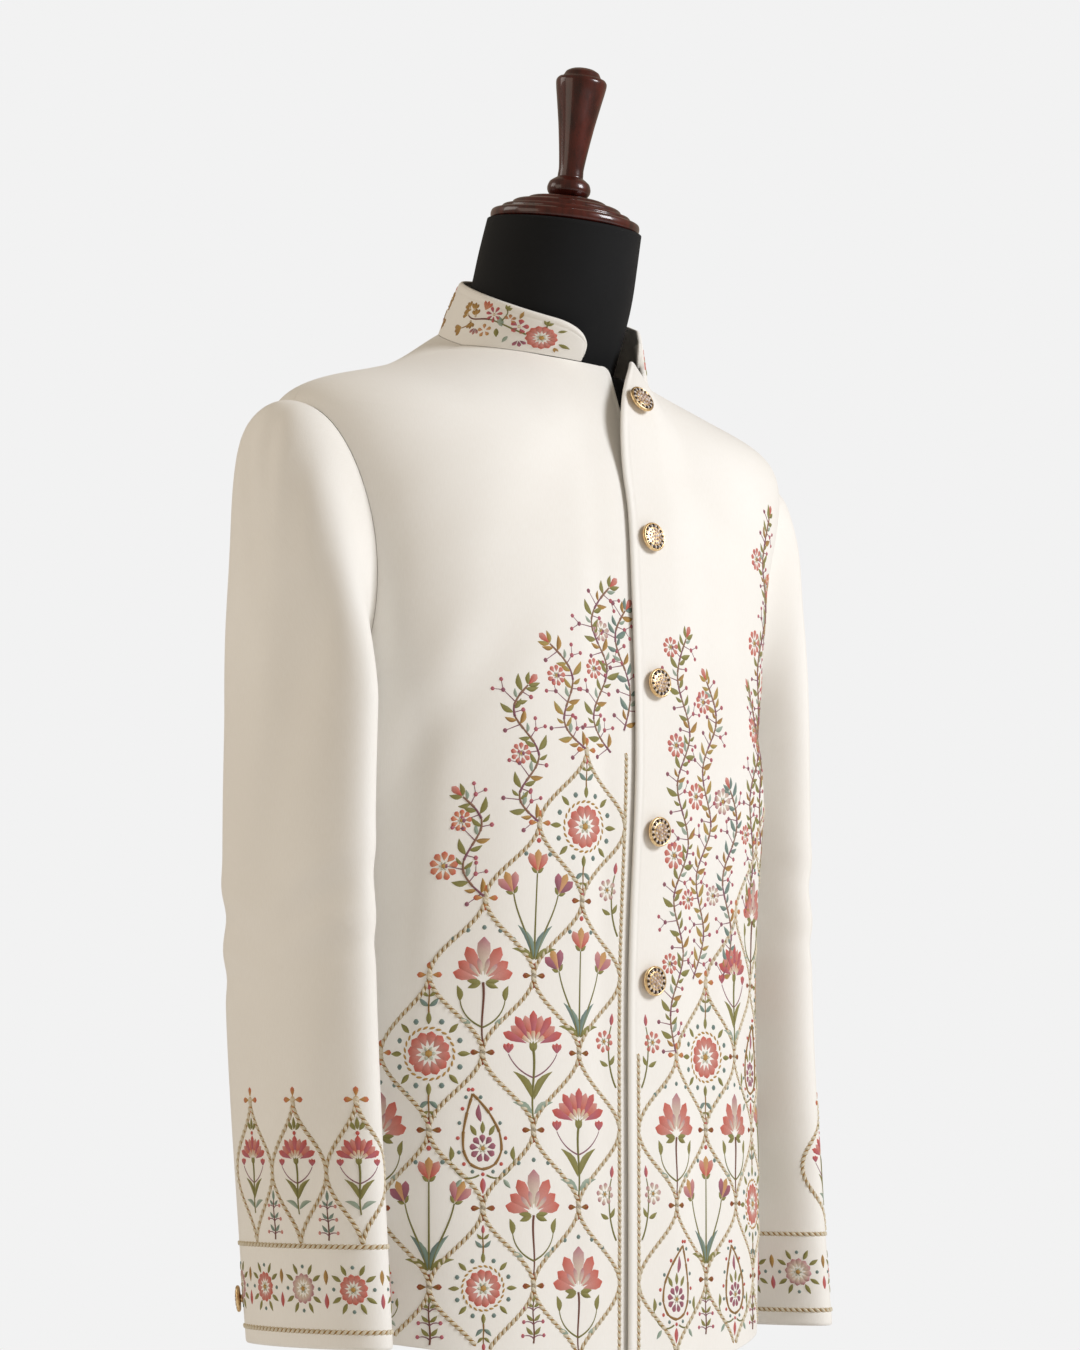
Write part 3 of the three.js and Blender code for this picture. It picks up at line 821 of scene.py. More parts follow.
    def form_neck(self, step: Array, angle: Array) -> Array:
        """Tilted ring of the form's neck column."""
        z, cy, hx, hy, tilt = self.neck_at(step)
        back = -hy * np.cos(angle)
        tilt = np.radians(tilt)
        return stack(hx * np.sin(angle), cy + back * np.cos(tilt), HEM + z + back * np.sin(tilt))


# ---- cloth surfaces

SEAM_DEPTH = 0.35                # how far a pressed seam sinks, mm
SEAM_WIDTH = 0.8
TABLE_LEVELS = (-0.2, 8.2)       # torso levels that the cloth tables span
TABLE_MIDDLE = 70                # their column at the centre front or back


def seam_sink(distance: Array) -> Array:
    """Pressed seam: a narrow bell at zero distance with a faint raised shoulder beside it."""
    return (-SEAM_DEPTH * np.exp(-(distance / SEAM_WIDTH) ** 2)
            + 0.22 * np.exp(-((np.abs(distance) - 4.0) / 2.6) ** 2))


class Cloth:
    """Cloth over the block: a base surface of two parameters moved out along its normals."""

    def outer(self, u: Array, v: Array) -> Array:
        """Outer face: base plus normal times offset.

        Args:
            u: First parameter, level or way down the sleeve.
            v: Second parameter, angle or turn.

        Returns:
            Points.
        """
        u, v = np.broadcast_arrays(np.asarray(u, float), v)
        return self.base(u, v) + self.normal(u, v) * self.offset(u, v)[..., None]

    def at(self, across: Array, up: Array, height: Array) -> Array:
        """Point that stands a height above the cloth at a place in it.

        Args:
            across: Millimetres of cloth across.
            up: Millimetres of cloth up.
            height: How far it stands off.

        Returns:
            Points.
        """
        u, v = self.find(across, up)
        return self.outer(u, v) + self.normal(u, v) * np.asarray(height)[..., None]


@dataclass
class TorsoCloth(Cloth):
    """Outer surface of the fronts or backs on one side, in millimetres of cloth.

    Across is measured along the level from the centre front or the centre back, always positive
    towards the wearer's left, and up is the height above the side hem.
    """

    block: Block
    side: Side
    front: bool
    creases: tuple[Crease, ...] = ()

    def __post_init__(self) -> None:
        """Tabulates cloth lengths over level and angle, to be read backwards by at()."""
        self.levels = np.linspace(*TABLE_LEVELS, 169)
        self.middle = 0.0 if self.front else pi
        self.angles = self.middle + np.linspace(-1.75, 1.75, 2 * TABLE_MIDDLE + 1)
        grid = self.block.torso(self.levels[:, None], self.angles[None, :])
        across = arc_lengths(grid, 1)
        across = across - across[:, [TABLE_MIDDLE]]
        self.across_table = across if self.front else -across
        self.up_table = grid[..., 2] - HEM

    def _read(self, table: Array, level: Array, angle: Array) -> Array:
        """Bilinear value of a table."""
        i = (level - self.levels[0]) / (self.levels[1] - self.levels[0])
        j = (angle - self.angles[0]) / (self.angles[1] - self.angles[0])
        i = np.clip(i, 0, len(self.levels) - 1.001)
        j = np.clip(j, 0, len(self.angles) - 1.001)
        i0, j0 = i.astype(int), j.astype(int)
        a, b = i - i0, j - j0
        return ((1 - a) * ((1 - b) * table[i0, j0] + b * table[i0, j0 + 1])
                + a * ((1 - b) * table[i0 + 1, j0] + b * table[i0 + 1, j0 + 1]))

    def cloth_place(self, level: Array, angle: Array) -> tuple[Array, Array]:
        """Across and up of a point of the block."""
        return (self._read(self.across_table, level, angle), self._read(self.up_table, level, angle))

    def find(self, across: Array, up: Array) -> tuple[Array, Array]:
        """Level and angle of a place in the cloth, by Newton steps on the tables.

        Args:
            across: Millimetres of cloth from the centre front or back.
            up: Height above the side hem.

        Returns:
            Level and angle.
        """
        level = np.interp(up, self.up_table[:, TABLE_MIDDLE], self.levels)
        angle = self.middle + (1.0 if self.front else -1.0) * across / 150.0
        for _ in range(7):
            here_across, here_up = self.cloth_place(level, angle)
            slope_up = (self.cloth_place(level + 0.05, angle)[1] - here_up) / 0.05
            slope_across = (self.cloth_place(level, angle + 0.03)[0] - here_across) / 0.03
            level = np.clip(level + (up - here_up) / np.maximum(slope_up, 20.0), *TABLE_LEVELS)
            angle = angle + np.clip((across - here_across) / slope_across, -0.4, 0.4)
        return level, angle

    def offset(self, level: Array, angle: Array) -> Array:
        """Everything that moves the cloth off the block: overlap, creases and seams.

        Args:
            level: Torso level.
            angle: Angle from the front.

        Returns:
            Millimetres outwards.
        """
        across, up = self.cloth_place(level, angle)
        out = creased(self.creases, across, up)
        if self.front:
            bite, quarter = self.block.front_bite, np.abs(angle)
        else:
            bite, quarter = self.block.back_bite, np.abs(pi - np.abs(angle - pi))
        edge = self.block.side_angle(level, bite)
        spread = np.abs(self._read(self.across_table, level, angle + 0.01) - across) / 0.01
        pressed = mix(1.0, 0.12, smooth((level - 3.8) / 0.4))
        edge_way = (edge - quarter) * spread
        out = out * smooth(edge_way / 26.0) + seam_sink(edge_way) * pressed
        if self.front and self.side is Side.LEFT:
            x = self.block.torso(self.place(level, angle), angle)[..., 0]
            out = out + self.block.lift(level, x)
        if not self.front:
            out = out + seam_sink(across)
        return out

    def place(self, level: Array, angle: Array) -> Array:
        """Level of the block that a level of the panel lies on."""
        fallen = self.front and self.side is Side.LEFT
        return self.block.fallen(level, angle) if fallen else level

    def normal(self, level: Array, angle: Array) -> Array:
        """Outward normal of the block under the cloth."""
        return self.block.torso_normal(self.place(level, angle), angle)

    def base(self, level: Array, angle: Array) -> Array:
        """Block under the cloth."""
        return self.block.torso(self.place(level, angle), angle)


@dataclass
class SleeveCloth(Cloth):
    """Outer surface of a sleeve: across from the outside towards the front, up from the cuff."""

    block: Block
    side: Side
    creases: tuple[Crease, ...] = ()

    def __post_init__(self) -> None:
        """Tabulates the cuff ring's length by turn and the stations' heights."""
        self.turns = np.linspace(-pi * 1.2, pi * 1.2, 481)
        ring = self.block.arm_ring(np.full(481, self.block.sleeve_end - 1.4), self.turns, self.side)
        lengths = arc_lengths(ring, 0)
        self.lengths = lengths - lengths[240]
        self.ways = np.linspace(self.block.sleeve_end, 1.0, 81)
        self.rises = self.block.sleeve_at(self.ways - 1)[0] - self.block.sleeve_rows[-1][0]

    def offset(self, way: Array, turn: Array) -> Array:
        """Creases, faded out at the armhole and the cuff edge, and the sleeve's own seams.

        Args:
            way: Way down the sleeve.
            turn: Angle round the arm.

        Returns:
            Millimetres outwards.
        """
        across = np.interp(np.mod(turn + pi, 2 * pi) - pi, self.turns, self.lengths)
        up = np.where(way >= 1, np.interp(-way, -self.ways, self.rises), 428 + (1 - way) * 200)
        out = creased(self.creases, across, up)
        fade = smooth(way / 0.35) * smooth((self.block.sleeve_end - way) / 0.15)
        return out * fade - 0.1 * np.exp(-(way * 100 / 1.2) ** 2)

    def base(self, way: Array, turn: Array) -> Array:
        """Block under the cloth."""
        return self.block.sleeve(way, turn, self.side)

    def normal(self, way: Array, turn: Array) -> Array:
        """Outward normal."""
        smooth_way = np.where((way > 0.997) & (way < 1.003), 1.003, way)
        normal = normals_of(lambda a, w: self.block.sleeve(np.maximum(w, 0), a, self.side),
                            turn, smooth_way)
        return normal * self.side.value

    def find(self, across: Array, up: Array) -> tuple[Array, Array]:
        """Way and turn of a place in the cloth."""
        return np.interp(up, self.rises, self.ways), np.interp(across, self.lengths, self.turns)


@dataclass
class CollarCloth:
    """Outer surface of the collar: across from the centre back towards the left, up from its foot."""

    block: Block
    radius: float = 66.0
    height: float = 38.0
    belly: float = 0.5

    def at(self, across: Array, up: Array, height: Array) -> Array:
        """Point that stands a height above the collar at a place in it.

        Args:
            across: Millimetres from the centre back.
            up: Millimetres over the neck seam.
            height: How far it stands off.

        Returns:
            Points.
        """
        angle = pi - across / self.radius
        rise = up / self.height
        surface = self.block.collar(rise, angle)
        normal = normals_of(lambda a, r: self.block.collar(r, a), angle, rise)
        belly = self.belly * np.sin(pi * np.clip(rise, 0, 1))
        return surface + normal * (np.asarray(height) + belly)[..., None]


# ---- cloth pieces

def spread_columns(total: float, near: Sequence[float], far: Sequence[float], pitch: float) -> Array:
    """Column places from 0 to 1: given millimetres at both ends and even steps between."""
    middle = np.linspace(near[-1], total - far[-1], max(int((total - near[-1] - far[-1]) / pitch), 2))
    ends = total - np.array(far[::-1])
    return np.concatenate([near[:-1], middle, ends[1:]]) / total


CUT_ROLL = 0.22                  # bulge of a panel's rim, mm
COLUMN_PITCH = 3.4               # even step between a panel's columns, mm
EDGE_MM = (0.0, 0.35, 0.9, 1.8, 3.0, 4.0, 4.6, 5.2, 6.0, 7.4, 9.5, 12.0)
SEAM_MM = (0.0, 0.5, 1.1, 1.9, 3.0, 4.6, 7.0)


def cloth_piece(node: str, outer: Array, inner: Array, roll: float, material: Material) -> Piece:
    """Cloth wall in place of a solid, with pattern coordinates from its lengths across and up.

    Args:
        node: Solid that it replaces.
        outer: Grid of outer points, rows up and columns across, in millimetres.
        inner: The same grid, one wall deeper.
        roll: How far its rim bulges, in millimetres.
        material: Its finish.

    Returns:
        The piece.
    """
    across, up = arc_lengths(outer, 1), arc_lengths(outer, 0)
    mesh = wall_mesh(node + "_cloth", outer, inner, np.stack([across, up], axis=-1), roll)
    obj = add_object(mesh, material)
    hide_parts(node)
    return obj


@dataclass
class Fronts:
    """The two fronts and two backs of the jacket."""

    block: Block
    right_creases: tuple[Crease, ...] = crease_rows(
        (-168, 420, 52, 95, 17, 3.4), (-196, 330, 84, 150, 16, 3.0), (-150, 250, 86, 210, 22, 2.2),
        (-196, 130, 92, 120, 18, 2.6), (-108, 520, 62, 120, 34, 2.0), (-120, 120, 88, 150, 26, 1.6),
        (-40, 330, 91, 260, 11, 1.5), (-62, 610, 38, 70, 18, 1.3), (-140, 575, 20, 60, 15, 1.4),
        (-72, 60, 84, 120, 20, 1.1))
    left_creases: tuple[Crease, ...] = crease_rows(
        (160, 428, 126, 90, 18, 3.0), (190, 300, 95, 160, 17, 2.8), (128, 210, 92, 190, 24, 2.0),
        (110, 505, 116, 110, 32, 1.8), (198, 110, 88, 120, 18, 2.3), (58, 180, 88, 170, 18, 1.1),
        (74, 590, 140, 62, 18, 1.2), (136, 560, 158, 58, 16, 1.4))
    back_creases: tuple[Crease, ...] = crease_rows(
        (-46, 250, 86, 120, 30, 2.4), (60, 268, 95, 110, 28, 2.1), (-150, 430, 130, 80, 20, 2.6),
        (158, 418, 52, 84, 20, 2.4), (-110, 330, 100, 120, 24, 1.8), (118, 300, 82, 130, 24, 1.7),
        (-8, 600, 4, 70, 14, 1.0), (170, 150, 88, 130, 20, 1.8), (-172, 160, 93, 130, 20, 1.9))

    def __post_init__(self) -> None:
        """Makes the four cloth surfaces."""
        self.front = {Side.LEFT: TorsoCloth(self.block, Side.LEFT, True, self.left_creases),
                      Side.RIGHT: TorsoCloth(self.block, Side.RIGHT, True, self.right_creases)}
        self.back = {side: TorsoCloth(self.block, side, False, self.back_creases) for side in Side}

    def levels(self) -> Array:
        """Rows of every panel: even below the underarm, by a half circle along the armhole."""
        hem = np.array([0.0, 0.004, 0.012, 0.025])
        low = np.linspace(0.05, self.block.underarm, 86)
        arc = self.block.underarm + (1 - np.cos(np.linspace(0, pi, 58)[1:])) / 2 * 2.0
        high = np.linspace(self.block.shoulder, self.block.neck, 34)[1:-1]
        top = self.block.neck - np.array([0.03, 0.014, 0.005, 0.0])
        return np.concatenate([hem, low, arc, high, top])

    def edge_roll(self, distance: Array) -> Array:
        """Turned front edge: rounds away at the fold, with a topstitch groove 5 mm in."""
        return (-0.9 * np.exp(-(distance / 0.7) ** 2) + 0.25 * np.exp(-((distance - 2.4) / 1.4) ** 2)
                - 0.42 * np.exp(-((distance - 5.0) / 0.45) ** 2))

    def panel(self, cloth: TorsoCloth, material: Material) -> Piece:
        """One panel as a wall between its front or centre-back edge and its side.

        Args:
            cloth: Surface that it lies on.
            material: Its finish.

        Returns:
            The piece.
        """
        block, side = self.block, cloth.side
        level = self.levels()[:, None]
        bite = block.front_bite if cloth.front else block.back_bite
        away = 0.06 / block.torso_at(level)[3]
        far = block.side_angle(level, bite) - away
        if cloth.front:
            near = block.edge_angle(level, side)
            far = far * side.value
        else:
            near = side.value * (pi - away)
            far = side.value * (pi - far)
        t = spread_columns(250.0, EDGE_MM if cloth.front else SEAM_MM, SEAM_MM, COLUMN_PITCH)[None, :]
        angle = mix(near, far, t)
        if not cloth.front and side is Side.RIGHT:
            angle = angle + 2 * pi
        normal = cloth.normal(*np.broadcast_arrays(level, angle))
        outer = inner = cloth.outer(level, angle)
        if cloth.front:
            width = arc_lengths(block.torso(level, angle), 1)
            outer = outer + normal * self.edge_roll(width)[..., None]
        name = f"{'front' if cloth.front else 'back'}_{side.label}"
        return cloth_piece(name, outer, inner - normal * block.cloth, CUT_ROLL, material)

    def build(self, material: Material) -> list[Piece]:
        """All four panels."""
        return [self.panel(c, material) for c in (*self.front.values(), *self.back.values())]


@dataclass
class Sleeves:
    """Two-piece sleeves with a pressed hindarm and forearm seam."""

    block: Block
    creases: tuple[Crease, ...] = crease_rows(
        (56, 300, 24, 46, 12, 2.6), (62, 262, 12, 40, 10, 2.0), (-58, 286, -18, 44, 12, 2.2),
        (-50, 244, -8, 40, 11, 1.8), (18, 400, 78, 120, 20, 1.8), (-26, 180, 86, 130, 18, 1.5),
        (40, 130, 74, 90, 14, 1.3), (44, 470, 66, 70, 15, 1.8), (-48, 500, 104, 70, 16, 1.4),
        (-12, 548, 96, 62, 9, 1.5), (12, 556, 84, 58, 8, 1.3), (34, 520, 74, 90, 12, 1.6))
    top_girth: float = 235.0
    under_girth: float = 105.0
    station: float = 108.0        # length of cloth from ring to ring

    def __post_init__(self) -> None:
        """Makes the two sleeve surfaces, with the left sleeve's creases set a little apart."""
        moved = tuple(Crease(c.across * 0.93, c.up + 14, c.tilt + 5, c.length, c.width,
                             c.depth * 0.9) for c in self.creases)
        self.cloth = {Side.RIGHT: SleeveCloth(self.block, Side.RIGHT, self.creases),
                      Side.LEFT: SleeveCloth(self.block, Side.LEFT, moved)}

    def seams(self, way: Array) -> tuple[Array, Array]:
        """Turns of the hindarm and forearm seams."""
        t = smooth(way / self.block.sleeve_end)
        return np.radians(mix(-112.5, -84.0, t)), np.radians(mix(150.0, 168.0, t))

    def piece(self, side: Side, top: bool, material: Material) -> Piece:
        """Top or under sleeve as a wall between the two seams.

        Args:
            side: The wearer's side.
            top: Top sleeve, not under sleeve.
            material: Its finish.

        Returns:
            The piece.
        """
        end = self.block.sleeve_end
        way = np.concatenate([[0.003, 0.006, 0.012, 0.02], np.linspace(0.03, 1, 50),
                              np.linspace(1, end - 0.06, 88)[1:],
                              end - np.array([0.035, 0.02, 0.01, 0.004, 0.0])])[:, None]
        hindarm, forearm = self.seams(way)
        near, far = (hindarm, forearm) if top else (forearm, hindarm + 2 * pi)
        total = self.top_girth if top else self.under_girth
        t = spread_columns(total, SEAM_MM, SEAM_MM, COLUMN_PITCH)[None, :]
        turn = mix(near + 0.0006, far - 0.0006, t)
        cloth = self.cloth[side]
        spread = np.minimum(t, 1 - t) * total
        normal = cloth.normal(way, turn)
        base = cloth.outer(way, turn)
        cuff = (end - way) * self.station
        sink = seam_sink(spread) - 0.7 * np.exp(-(cuff / 0.8) ** 2)
        outer = base + normal * sink[..., None]
        inner = base - normal * self.block.cloth
        for face in (outer, inner):
            face[0] += 0.24 * unit(face[0] - face[3])
        name = f"sleeve_{'top' if top else 'under'}_{side.label}"
        return cloth_piece(name, outer, inner, CUT_ROLL, material)

    def build(self, material: Material) -> list[Piece]:
        """All four sleeve pieces."""
        return [self.piece(side, top, material) for side in Side for top in (True, False)]


@dataclass
class Collar:
    """Stiffened stand collar with a tab inside its left end."""

    block: Block
    tab_reach: float = 9.0
    tab_behind: float = 14.0
    tab_low: float = 0.30
    tab_high: float = 0.74
    tab_tip: float = 6.0
    tab_wall: float = 2.0

    def skin(self, way: Array, angle: Array, depth: Array) -> Array:
        """Collar surface moved in by a depth."""
        normal = normals_of(lambda a, r: self.block.collar(r, a), angle, way)
        return self.block.collar(way, angle) - normal * np.asarray(depth)[..., None]

    def band(self, material: Material) -> Piece:
        """The band, softly bellied, with a topstitch groove 5 mm in from its edge.

        Args:
            material: Its finish.

        Returns:
            The piece.
        """
        block = self.block
        last = 2 * pi + block.collar_right_end
        ends = np.array([0.0, 0.004, 0.010, 0.02, 0.032, 0.05, 0.07, 0.085, 0.10])
        angle = np.concatenate([block.collar_left_end + ends,
                                np.linspace(block.collar_left_end + 0.12, last - 0.12, 230),
                                last - ends[::-1]])[None, :]
        t = np.concatenate([[0.0, 0.008, 0.03], np.linspace(0.06, 0.8, 20),
                            [0.83, 0.855, 0.875, 0.90, 0.93, 0.96, 0.985, 1.0]])[:, None]
        way = t * block.collar_rise(angle)
        radius = 62.0
        end = np.minimum(angle - block.collar_left_end, last - angle) * radius
        edge = np.minimum((1 - t) * 34.0, end + 34 * (1 - t) * 0.2)
        sink = (0.8 * np.exp(-(edge / 0.8) ** 2) + 0.34 * np.exp(-((edge - 4.8) / 0.5) ** 2)
                - 0.5 * np.sin(pi * np.clip(t, 0, 1)))
        outer = self.skin(way, angle, sink)
        inner = self.skin(way, angle, block.collar_wall + 0 * sink)
        return cloth_piece("collar", outer, inner, 0.7, material)

    def tab(self, material: Material) -> Piece:
        """The tab: a round-ended tongue behind the collar's left end.

        Args:
            material: Its finish.

        Returns:
            The piece.
        """
        block = self.block
        radius = (block.collar_top[2] + block.collar_top[3]) / 2
        first = block.collar_left_end - self.tab_reach / radius
        last = block.collar_left_end + self.tab_behind / radius
        angle = np.linspace(first, last, 40)[None, :]
        tip = np.clip((angle - first) * radius / self.tab_tip, 0, 1)
        half = (self.tab_high - self.tab_low) / 2 * mix(0.3, 1.0, np.sqrt(1 - (1 - tip) ** 2))
        way = (self.tab_low + self.tab_high) / 2 + np.linspace(-1, 1, 18)[:, None] * half
        depth = np.full(way.shape, block.collar_wall + block.seam_gap)
        outer, inner = self.skin(way, angle, depth), self.skin(way, angle, depth + self.tab_wall)
        return cloth_piece("collar_tab", outer, inner, 0.5, material)

    def build(self, material: Material) -> list[Piece]:
        """Band and tab."""
        return [self.band(material), self.tab(material)]


# ---- buttons

@dataclass
class Buttons:
    """Jewelled buttons: a gilt cup and rim, set with rings of small stones."""

    block: Block
    fronts: Fronts
    sleeves: Sleeves
    heights: tuple[float, ...] = (655, 559, 455, 351, 247)
    xs: tuple[float, ...] = (11, 5, 4, 4, 4)
    radius: float = 10.5
    cuff_radius: float = 9.0
    cuff_rise: float = 29.0
    cuff_turn: float = radians(-66)
    profile: tuple = ((0.30, 0.0), (0.30, 0.14), (0.86, 0.20), (0.97, 0.26), (1.0, 0.34), (0.98, 0.42),
                      (0.92, 0.47), (0.87, 0.46), (0.84, 0.42), (0.60, 0.47), (0.30, 0.50),
                      (0.10, 0.505))
    rings: tuple = ((0.0, 1, 0.15, 1.0), (0.24, 6, 0.13, 1.0), (0.46, 12, 0.13, 1.0),
                    (0.73, 26, 0.085, 1.7))     # radius, number, size, radial stretch

    def seats(self) -> list[tuple[str, float, Array, Array]]:
        """Name, radius, seat and axis of every button.

        Returns:
            One row for each button.
        """
        found = []
        block = self.block
        levels = np.linspace(0, 8, 1601)
        fronts = block.torso_at(levels)[0]
        for k, (height, x) in enumerate(zip(self.heights, self.xs)):
            level = np.interp([height], fronts, levels)
            angle = np.arcsin(x / block.torso_at(level)[4])
            normal = block.torso_normal(level, angle)
            lift = block.lift(level, block.torso(level, angle)[..., 0])
            seat = block.torso(level, angle) + normal * lift[..., None]
            found.append((f"button_{k + 1}", self.radius, seat[0], normal[0]))
        for side in Side:
            rows = block.sleeve_rows
            way = np.array([block.sleeve_end - self.cuff_rise / (rows[-2][0] - rows[-1][0])])
            turn = np.array([self.cuff_turn])
            normal = self.sleeves.cloth[side].normal(way, turn)
            seat = block.sleeve(way, turn, side)
            found.append((f"cuff_button_{side.label}", self.cuff_radius, seat[0], normal[0]))
        return found

    def stones(self, radius: float, seat: Array, axis: Array, turn: float) -> tuple[Array, ...]:
        """Faceted stones of one button: hexagonal tables over hexagonal girdles.

        Args:
            radius: The button's radius.
            seat: Middle of its foot.
            axis: Outward unit vector.
            turn: Angle of the first stone.

        Returns:
            Points, faces and colours.
        """
        side = unit(np.cross(axis, [0.1, 0.0, 1.0]))
        front = np.cross(axis, side)
        points, faces, colours = [], [], []
        corner = np.arange(6)
        following = (corner + 1) % 6
        walls = np.stack([corner, following, following + 6, corner + 6], axis=1)
        caps = [[12, 13, 14, 15], [15, 16, 17, 12], [3, 2, 1, 0], [0, 5, 4, 3]]
        gem = np.concatenate([walls, walls + 6, caps])
        hexagon = np.radians(corner * 60.0)
        tints = np.array([[0.64, 0.52, 0.47], [0.42, 0.31, 0.27], [0.76, 0.70, 0.67],
                          [0.030, 0.014, 0.009]])
        for ring, number, size, stretch in self.rings:
            for k in range(number):
                a = 2 * pi * k / number + turn + ring * 3
                radial = cos(a) * side + sin(a) * front
                middle = ring * radius * radial
                height = radius * (0.50 - 0.09 * ring ** 2)
                lean = unit(axis + 0.35 * ring * radial)
                centre = seat + middle + axis * height
                dark = ring > 0.6 and k % 2 == 0
                wide = size * (1.18 if dark else 0.86) * radius
                outline = wide * (stretch * np.cos(hexagon)[:, None] * radial
                                  + np.sin(hexagon)[:, None] * np.cross(axis, radial))
                girdle = centre + outline
                points += [girdle - axis * size * radius * 0.6, girdle,
                           centre + 0.6 * outline + lean * size * radius * 0.6]
                faces.append(gem + 18 * len(faces))
                shade = tints[3 if dark else 2 if ring > 0.6 else (k * 7 + int(ring * 50)) % 3]
                colours.append(np.tile(shade, (18, 1)))
        return np.concatenate(points), np.concatenate(faces), np.concatenate(colours)

    def build(self, metal: Material, stone: Material) -> list[Piece]:
        """Gilt cups in place of the solids, and the stones of all buttons in one piece each.

        Args:
            metal: Finish of the cups.
            stone: Finish of the stones.

        Returns:
            The pieces.
        """
        made = []
        for k, (name, radius, seat, axis) in enumerate(self.seats()):
            seat = seat + axis * self.block.seam_gap
            profile = round_profile(np.array(self.profile) * radius, 3)
            cup = add_object(turned_mesh(name + "_cup", profile, seat, axis, 40), metal)
            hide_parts(name)
            points, faces, colours = self.stones(radius, seat, axis, 0.7 * k)
            mesh = build_mesh(name + "_stones", points, faces, colour=colours)
            mesh.polygons.foreach_set("use_smooth", np.zeros(len(faces), bool))
            gems = add_object(mesh, stone)
            made += [cup, gems]
        return made


# ---- needlework

def thread(code: str) -> Array:
    """Linear colour of a six-digit code."""
    srgb = np.array([int(code[i:i + 2], 16) for i in (0, 2, 4)]) / 255.0
    return ((srgb + 0.055) / 1.055) ** 2.4


CORAL, ROSE, MAUVE, PINK, PEACH, CREAM, OLIVE, MOSS = map(
    thread, "d4543f b9667c 8d5568 dd9f95 e2a27c efe6cf 7c7a34 9a9650".split())
SAGE, MIST, SLATE, GOLD, OCHRE, BROWN, SAND, TAN = map(
    thread, "86a08c b4c3b4 6a8585 c99d4c 9c7434 75402f cdbb8c 98705a".split())
# shadings of a stitch, from its first colour to its second
LEAFY, MISTY, TEAL, BLUEISH = (OLIVE, MOSS), (SAGE, MIST), (SAGE, SLATE), (SLATE, SAGE)
BLUSH, SHELL, BERRY, EMBER = (PINK, CORAL), (CREAM, ROSE), (ROSE, CORAL), (CORAL, ROSE)
PLUM, GILDED, HEART = (MAUVE, ROSE), (GOLD, OCHRE), (CREAM, GOLD)


class Stitch(Enum):
    """Padded stitches, as steps along and across one pad."""

    LEAF = (7, 5)
    PETAL = (6, 5)
    SEED = (5, 5)
    TWIST = (5, 4)

    def half_width(self, s: Array) -> Array:
        """Half width along the pad, as a share of its greatest: a bell that leans to its kind."""
        lean, power = {"LEAF": (0.85, 1.15), "PETAL": (1.75, 0.75), "SEED": (1.0, 0.5),
                       "TWIST": (1.0, 0.8)}[self.name]
        return np.sin(pi * np.clip(s, 0, 1) ** lean) ** power


LEAF, PETAL, SEED, TWIST = Stitch


def patches(points: Array, uv: Array, colour: Array) -> tuple[Array, ...]:
    """Many grids of one size as flat rows of points, faces, pattern coordinates and colours."""
    count, rows, columns = points.shape[:3]
    starts = (np.arange(count) * rows * columns)[:, None, None]
    faces = (grid_faces(rows, columns)[None] + starts).reshape(-1, 4)
    return points.reshape(-1, 3), faces, uv.reshape(-1, 2), colour.reshape(-1, 3)


